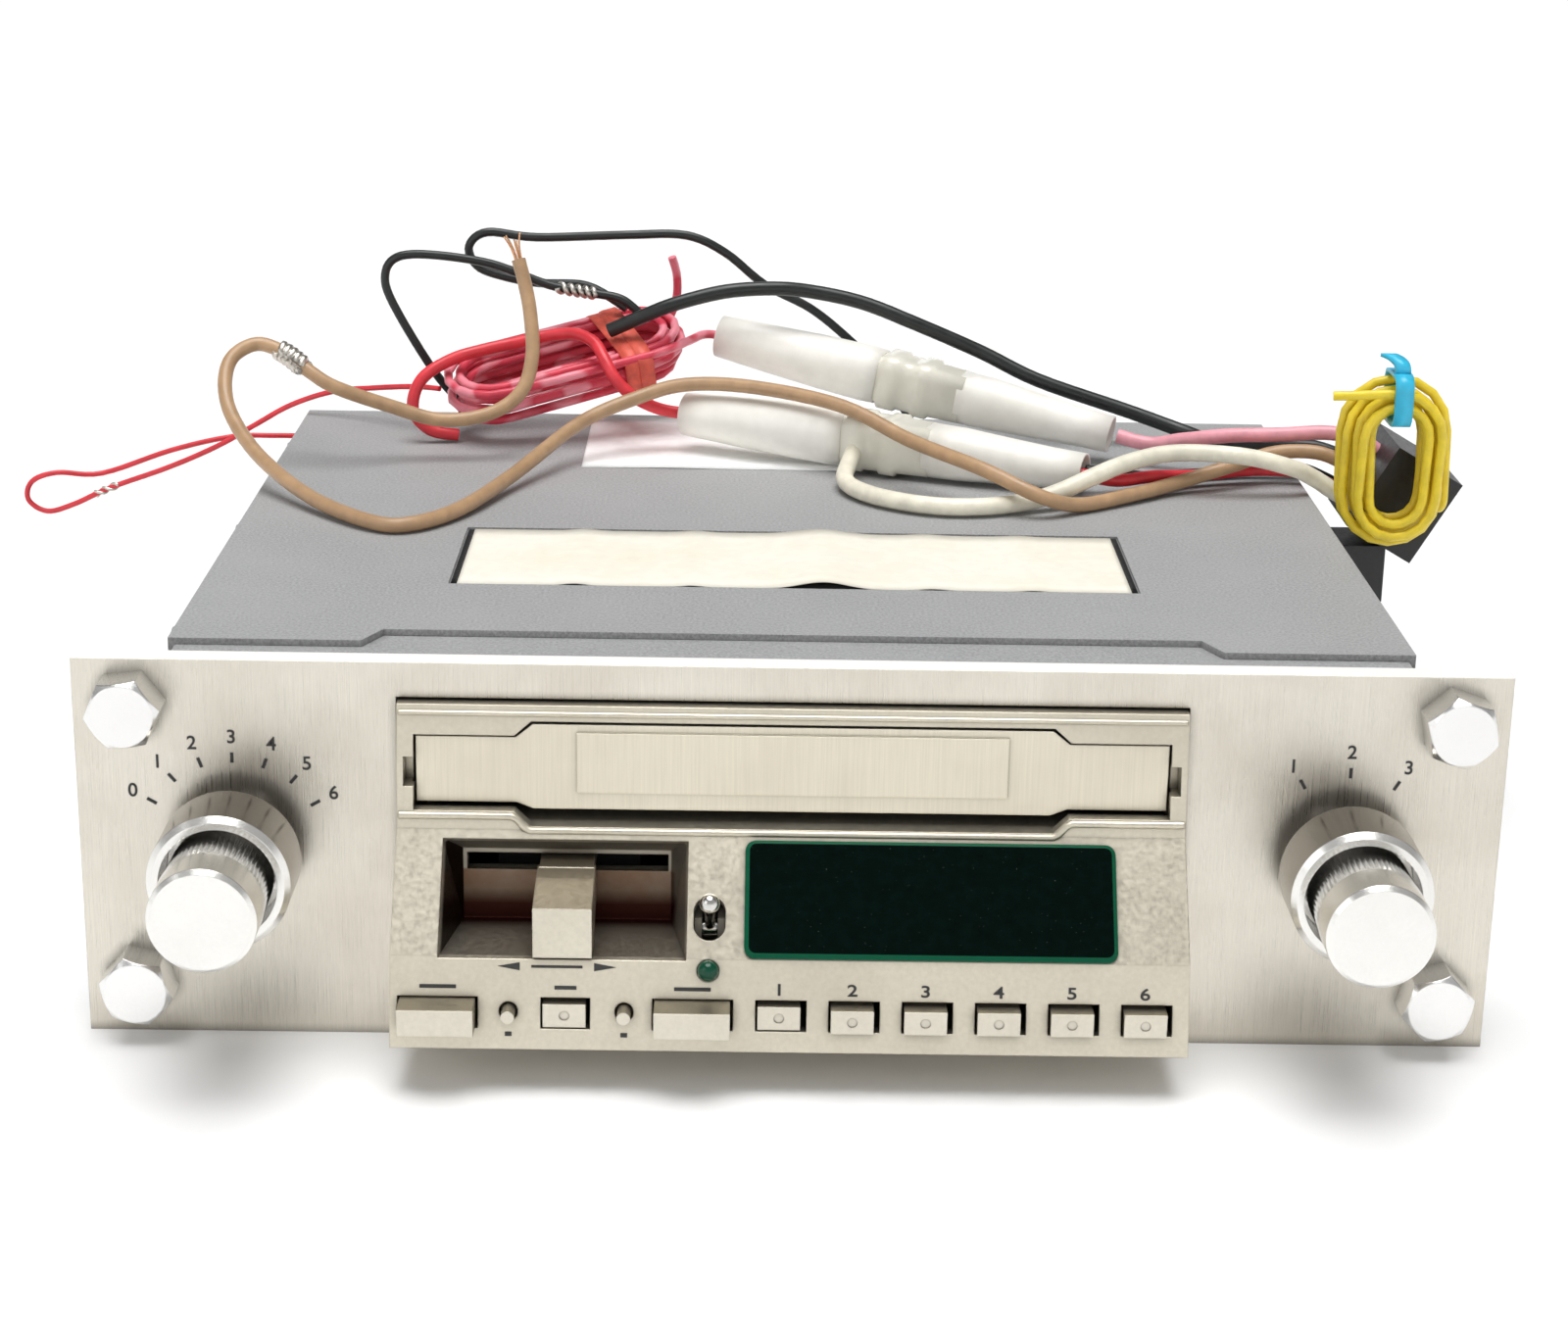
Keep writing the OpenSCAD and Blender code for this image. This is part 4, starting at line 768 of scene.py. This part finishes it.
def frayed_end(name, path, reach, count, spread_out, material):
    """Fine strands fanning out of a lead's last point."""
    tip = path[-1]
    ahead = (tip - path[-4]).normalized()
    across = ahead.cross(Vector((0, 1, 0))).normalized()
    up = across.cross(ahead)
    mesh = bmesh.new()
    for k in range(count):
        turn = math.tau * k / count
        out = math.cos(turn) * across + math.sin(turn) * up
        long = reach * (1 - 0.12 * (k % 3))
        points = [
            tip - ahead * 1.5 + out * 0.45,
            tip + ahead * (long * 0.5) + out * (0.5 + spread_out * 0.25),
            tip + ahead * long + out * (0.4 + spread_out),
        ]
        strand_tube(mesh, smooth(points, 5), 0.16)
    return mesh_piece(name, mesh, material)


# Labels and marks; every label is bare, and the marks are plain numbers, ticks and arrows
def make_paper(name, low, high, z, lifts, material, thick):
    """A thin sheet on the cover, lifted in places, each as (x, half width, height)."""
    columns, rows = 140, 8
    mesh = bmesh.new()
    grid = []
    for j in range(rows + 1):
        y = low[1] + (high[1] - low[1]) * j / rows
        line = []
        for i in range(columns + 1):
            x = low[0] + (high[0] - low[0]) * i / columns
            rise = sum(h * math.exp(-((x - middle) / half) ** 2) for middle, half, h in lifts)
            line.append(mesh.verts.new(at(x, y, z + rise * (1 - 0.35 * j / rows))))
        grid.append(line)
    for near, far in zip(grid, grid[1:]):
        for i in range(columns):
            mesh.faces.new((near[i], near[i + 1], far[i + 1], far[i])).smooth = True
    piece = mesh_piece(name, mesh, material)
    body = piece.modifiers.new("thickness", "SOLIDIFY")
    body.thickness = thick * MM
    body.offset = 1


def make_labels():
    # painted shadow: a near-black sheet under the front label, showing past its ends and under its lifts
    make_paper("label_edge_shadow_sheet", (-51.8, 42.2), (52.8, 73.8), 54.62, [], "shadow_sheet_black", 0.05)
    bumps = [(4.9, 5.2, 1.2), (-33, 2.6, 0.4), (-15.2, 2.4, 0.35), (21.6, 3, 0.35), (36.8, 2.6, 0.3)]
    make_paper("front_label", (-50.8, 42.3), (51.8, 73.6), 54.72, bumps, "paper", 0.12)
    make_paper("rear_label", (-36, 114), (13, 151.5), 55.03, [(-20, 6, 0.1)], "grey_paper", 0.1)


INK_THICK = 0.02


def text_mesh(body, size):
    data = bpy.data.curves.new("mark", "FONT")
    data.body = body
    data.size = size * MM
    data.align_x = "CENTER"
    data.align_y = "CENTER"
    data.extrude = INK_THICK * MM
    data.offset = 0.03 * MM
    holder = placed("mark", data)
    bpy.context.view_layer.update()
    made = bpy.data.meshes.new_from_object(holder)
    bpy.data.objects.remove(holder)
    return made


def outline_mesh(points):
    """A plain shape as thick as the letters, from its corners in millimetres."""
    mesh = bmesh.new()
    skin(mesh, [[Vector((x, y, side * INK_THICK)) * MM for x, y in points] for side in (-1, 1)])
    made = bpy.data.meshes.new("mark")
    mesh.to_mesh(made)
    mesh.free()
    return made


def bar(w, h):
    return [(-w / 2, -h / 2), (w / 2, -h / 2), (w / 2, h / 2), (-w / 2, h / 2)]


def arrow(way):
    return [(-1.5 * way, -0.55), (1.5 * way, 0), (-1.5 * way, 0.55)]


INK_GAP = 0.04
UPRIGHT = Matrix.Rotation(math.pi / 2, 4, "X")


def on_low(x, s):
    """On the panel that holds the keys, s up the panel from the kink above it."""
    panel = Matrix.Translation(at(0, -15.8, 19)) @ Matrix.Rotation(-LOW, 4, "X")
    return panel @ Matrix.Translation(Vector((x, -INK_GAP, s)) * MM) @ UPRIGHT


def on_plate(x, z, turn=0.0):
    return Matrix.Translation(at(x, -INK_GAP, z)) @ UPRIGHT @ Matrix.Rotation(turn, 4, "Z")


def marks(name, items):
    """One piece of ink from flat shapes and their places."""
    mesh = bmesh.new()
    for shape, place in items:
        shape.transform(place)
        mesh.from_mesh(shape)
        bpy.data.meshes.remove(shape)
    piece = mesh_piece(name, mesh, "legend_ink")


TICK_R = 13.2
NUMBER_R = 16.2


def dial(centre, angles, numbers):
    """Ticks and plain numbers on an arc above a shaft; angles are clockwise from straight up."""
    items = []
    for angle, number in zip(angles, numbers):
        turn = math.radians(angle)
        x, z = math.sin(turn), math.cos(turn)
        tick = on_plate(centre[0] + TICK_R * x, centre[1] + TICK_R * z, -turn)
        figure = on_plate(centre[0] + NUMBER_R * x, centre[1] + NUMBER_R * z)
        items.append((outline_mesh(bar(0.45, 1.5)), tick))
        items.append((text_mesh(str(number), 2.8), figure))
    return items


SHAFT_X = 78.2
SHAFT_Z = 28.5
PRESET_X = -1.5
PRESET_PITCH = 10.06
LEGEND_S = -4.2
ARROW_S = -1.3
PIN_S = -10.7
PIN_X = (-38.6, -22.75)


def make_marks():
    wide = Matrix.Diagonal((1.3, 1, 1, 1))
    presets = [on_low(PRESET_X + PRESET_PITCH * i, LEGEND_S) @ wide for i in range(6)]
    marks("preset_numbers", [(text_mesh(str(i + 1), 2.3), place) for i, place in enumerate(presets)])
    shapes = [(arrow(-1), -38.6), (arrow(1), -25.4), (bar(7, 0.35), -32)]
    marks("lever_arrows", [(outline_mesh(shape), on_low(x, ARROW_S)) for shape, x in shapes])
    ticks = [(-48.3, 5), (-30.8, 3), (-13.4, 5)]
    above_keys = [(outline_mesh(bar(w, 0.5)), on_low(x, LEGEND_S)) for x, w in ticks]
    below_pins = [(outline_mesh(bar(0.9, 0.6)), on_low(x, PIN_S)) for x in PIN_X]
    marks("key_ticks", above_keys + below_pins)
    marks("left_dial", dial((-SHAFT_X, SHAFT_Z), range(-60, 61, 20), range(7)))
    marks("right_dial", dial((SHAFT_X, SHAFT_Z), (-30, 0, 30), (1, 2, 3)))


# Rounded lips along the cassette opening
LIP_X = 54.6
UPPER_LIP_Z = 49.4
LOWER_LIP = [
    (-LIP_X, 35.2), (-39, 35.2), (-38.2, 34.8), (-37.2, 33.7), (-36.4, 33.2), (36.4, 33.2), (37.2, 33.7),
    (38.2, 34.8), (39, 35.2), (LIP_X, 35.2),
]


def slot_face(z):
    """Where the nosepiece's face lies beside the opening, which leans back from its foot."""
    return -1.8 - 3 * (50.6 - z) / 17.2


def lip(name, points, d):
    path = [Vector((x, slot_face(z) + 0.1, z)) for x, z in points]
    curve_along(name, path, d, "panel_silver")


def make_lips():
    lip("lower_lip", LOWER_LIP, 1.1)
    lip("upper_lip", [(x, UPPER_LIP_Z) for x in (-LIP_X, 0, LIP_X)], 0.8)


# Floor and light
def make_floor():
    reach = 6
    corners = [(x * reach, y * reach, 0) for x, y in ((-1, -1), (1, -1), (1, 1), (-1, 1))]
    data = bpy.data.meshes.new("floor")
    data.from_pydata(corners, [], [(0, 1, 2, 3)])
    data.materials.append(MATERIAL["floor_white"])
    placed("floor", data)


def area_light(name, place, target, size, power):
    data = bpy.data.lights.new(name, "AREA")
    data.shape = "RECTANGLE"
    data.size, data.size_y = size
    data.energy = power
    lamp = placed(name, data)
    lamp.location = place
    lamp.rotation_euler = (Vector(target) - Vector(place)).to_track_quat("-Z", "Y").to_euler()


def make_light():
    """A bright patch overhead, a bright band low in front, and a soft lamp from the left."""
    world = bpy.data.worlds.new("world")
    bpy.context.scene.world = world
    world.use_nodes = True
    tree = world.node_tree
    place = tree.nodes.new("ShaderNodeTexCoord")
    split = tree.nodes.new("ShaderNodeSeparateXYZ")
    tree.links.new(place.outputs["Generated"], split.inputs["Vector"])
    back, up = split.outputs["Y"], split.outputs["Z"]
    room, front, overhead = 0.1, 1, 6.5
    ahead = spread(tree, back, 1, 0, -0.2, 0.2)
    low = spread(tree, up, front, front / 3, 0.12, 0.4)
    above = spread(tree, up, room, room + overhead, 0.9, 0.95)
    glow = math_node(tree, "ADD", math_node(tree, "MULTIPLY", ahead, low), above)
    # a pale backdrop just above the floor's edge, for what is seen and what metal mirrors
    ray = tree.nodes.new("ShaderNodeLightPath").outputs
    mirrored = math_node(tree, "MAXIMUM", ray["Is Glossy Ray"], ray["Is Transmission Ray"])
    seen = math_node(tree, "MAXIMUM", ray["Is Camera Ray"], mirrored)
    backdrop = math_node(tree, "MULTIPLY", seen, spread(tree, up, 1, 0, 0.2, 0.25))
    glow = math_node(tree, "MAXIMUM", glow, backdrop)
    sky = tree.nodes["Background"]
    sky.inputs["Color"].default_value = (1, 1, 1, 1)
    tree.links.new(glow, sky.inputs["Strength"])
    area_light("left", (-0.7, -0.6, 0.5), (0, 0, 0.03), (0.5, 0.5), 1)
    bpy.context.scene.view_settings.view_transform = "Standard"


make_camera()
make_leads(make_boots())
make_hanks()
dress_frame()
make_labels()
make_marks()
make_lips()
make_floor()
make_light()
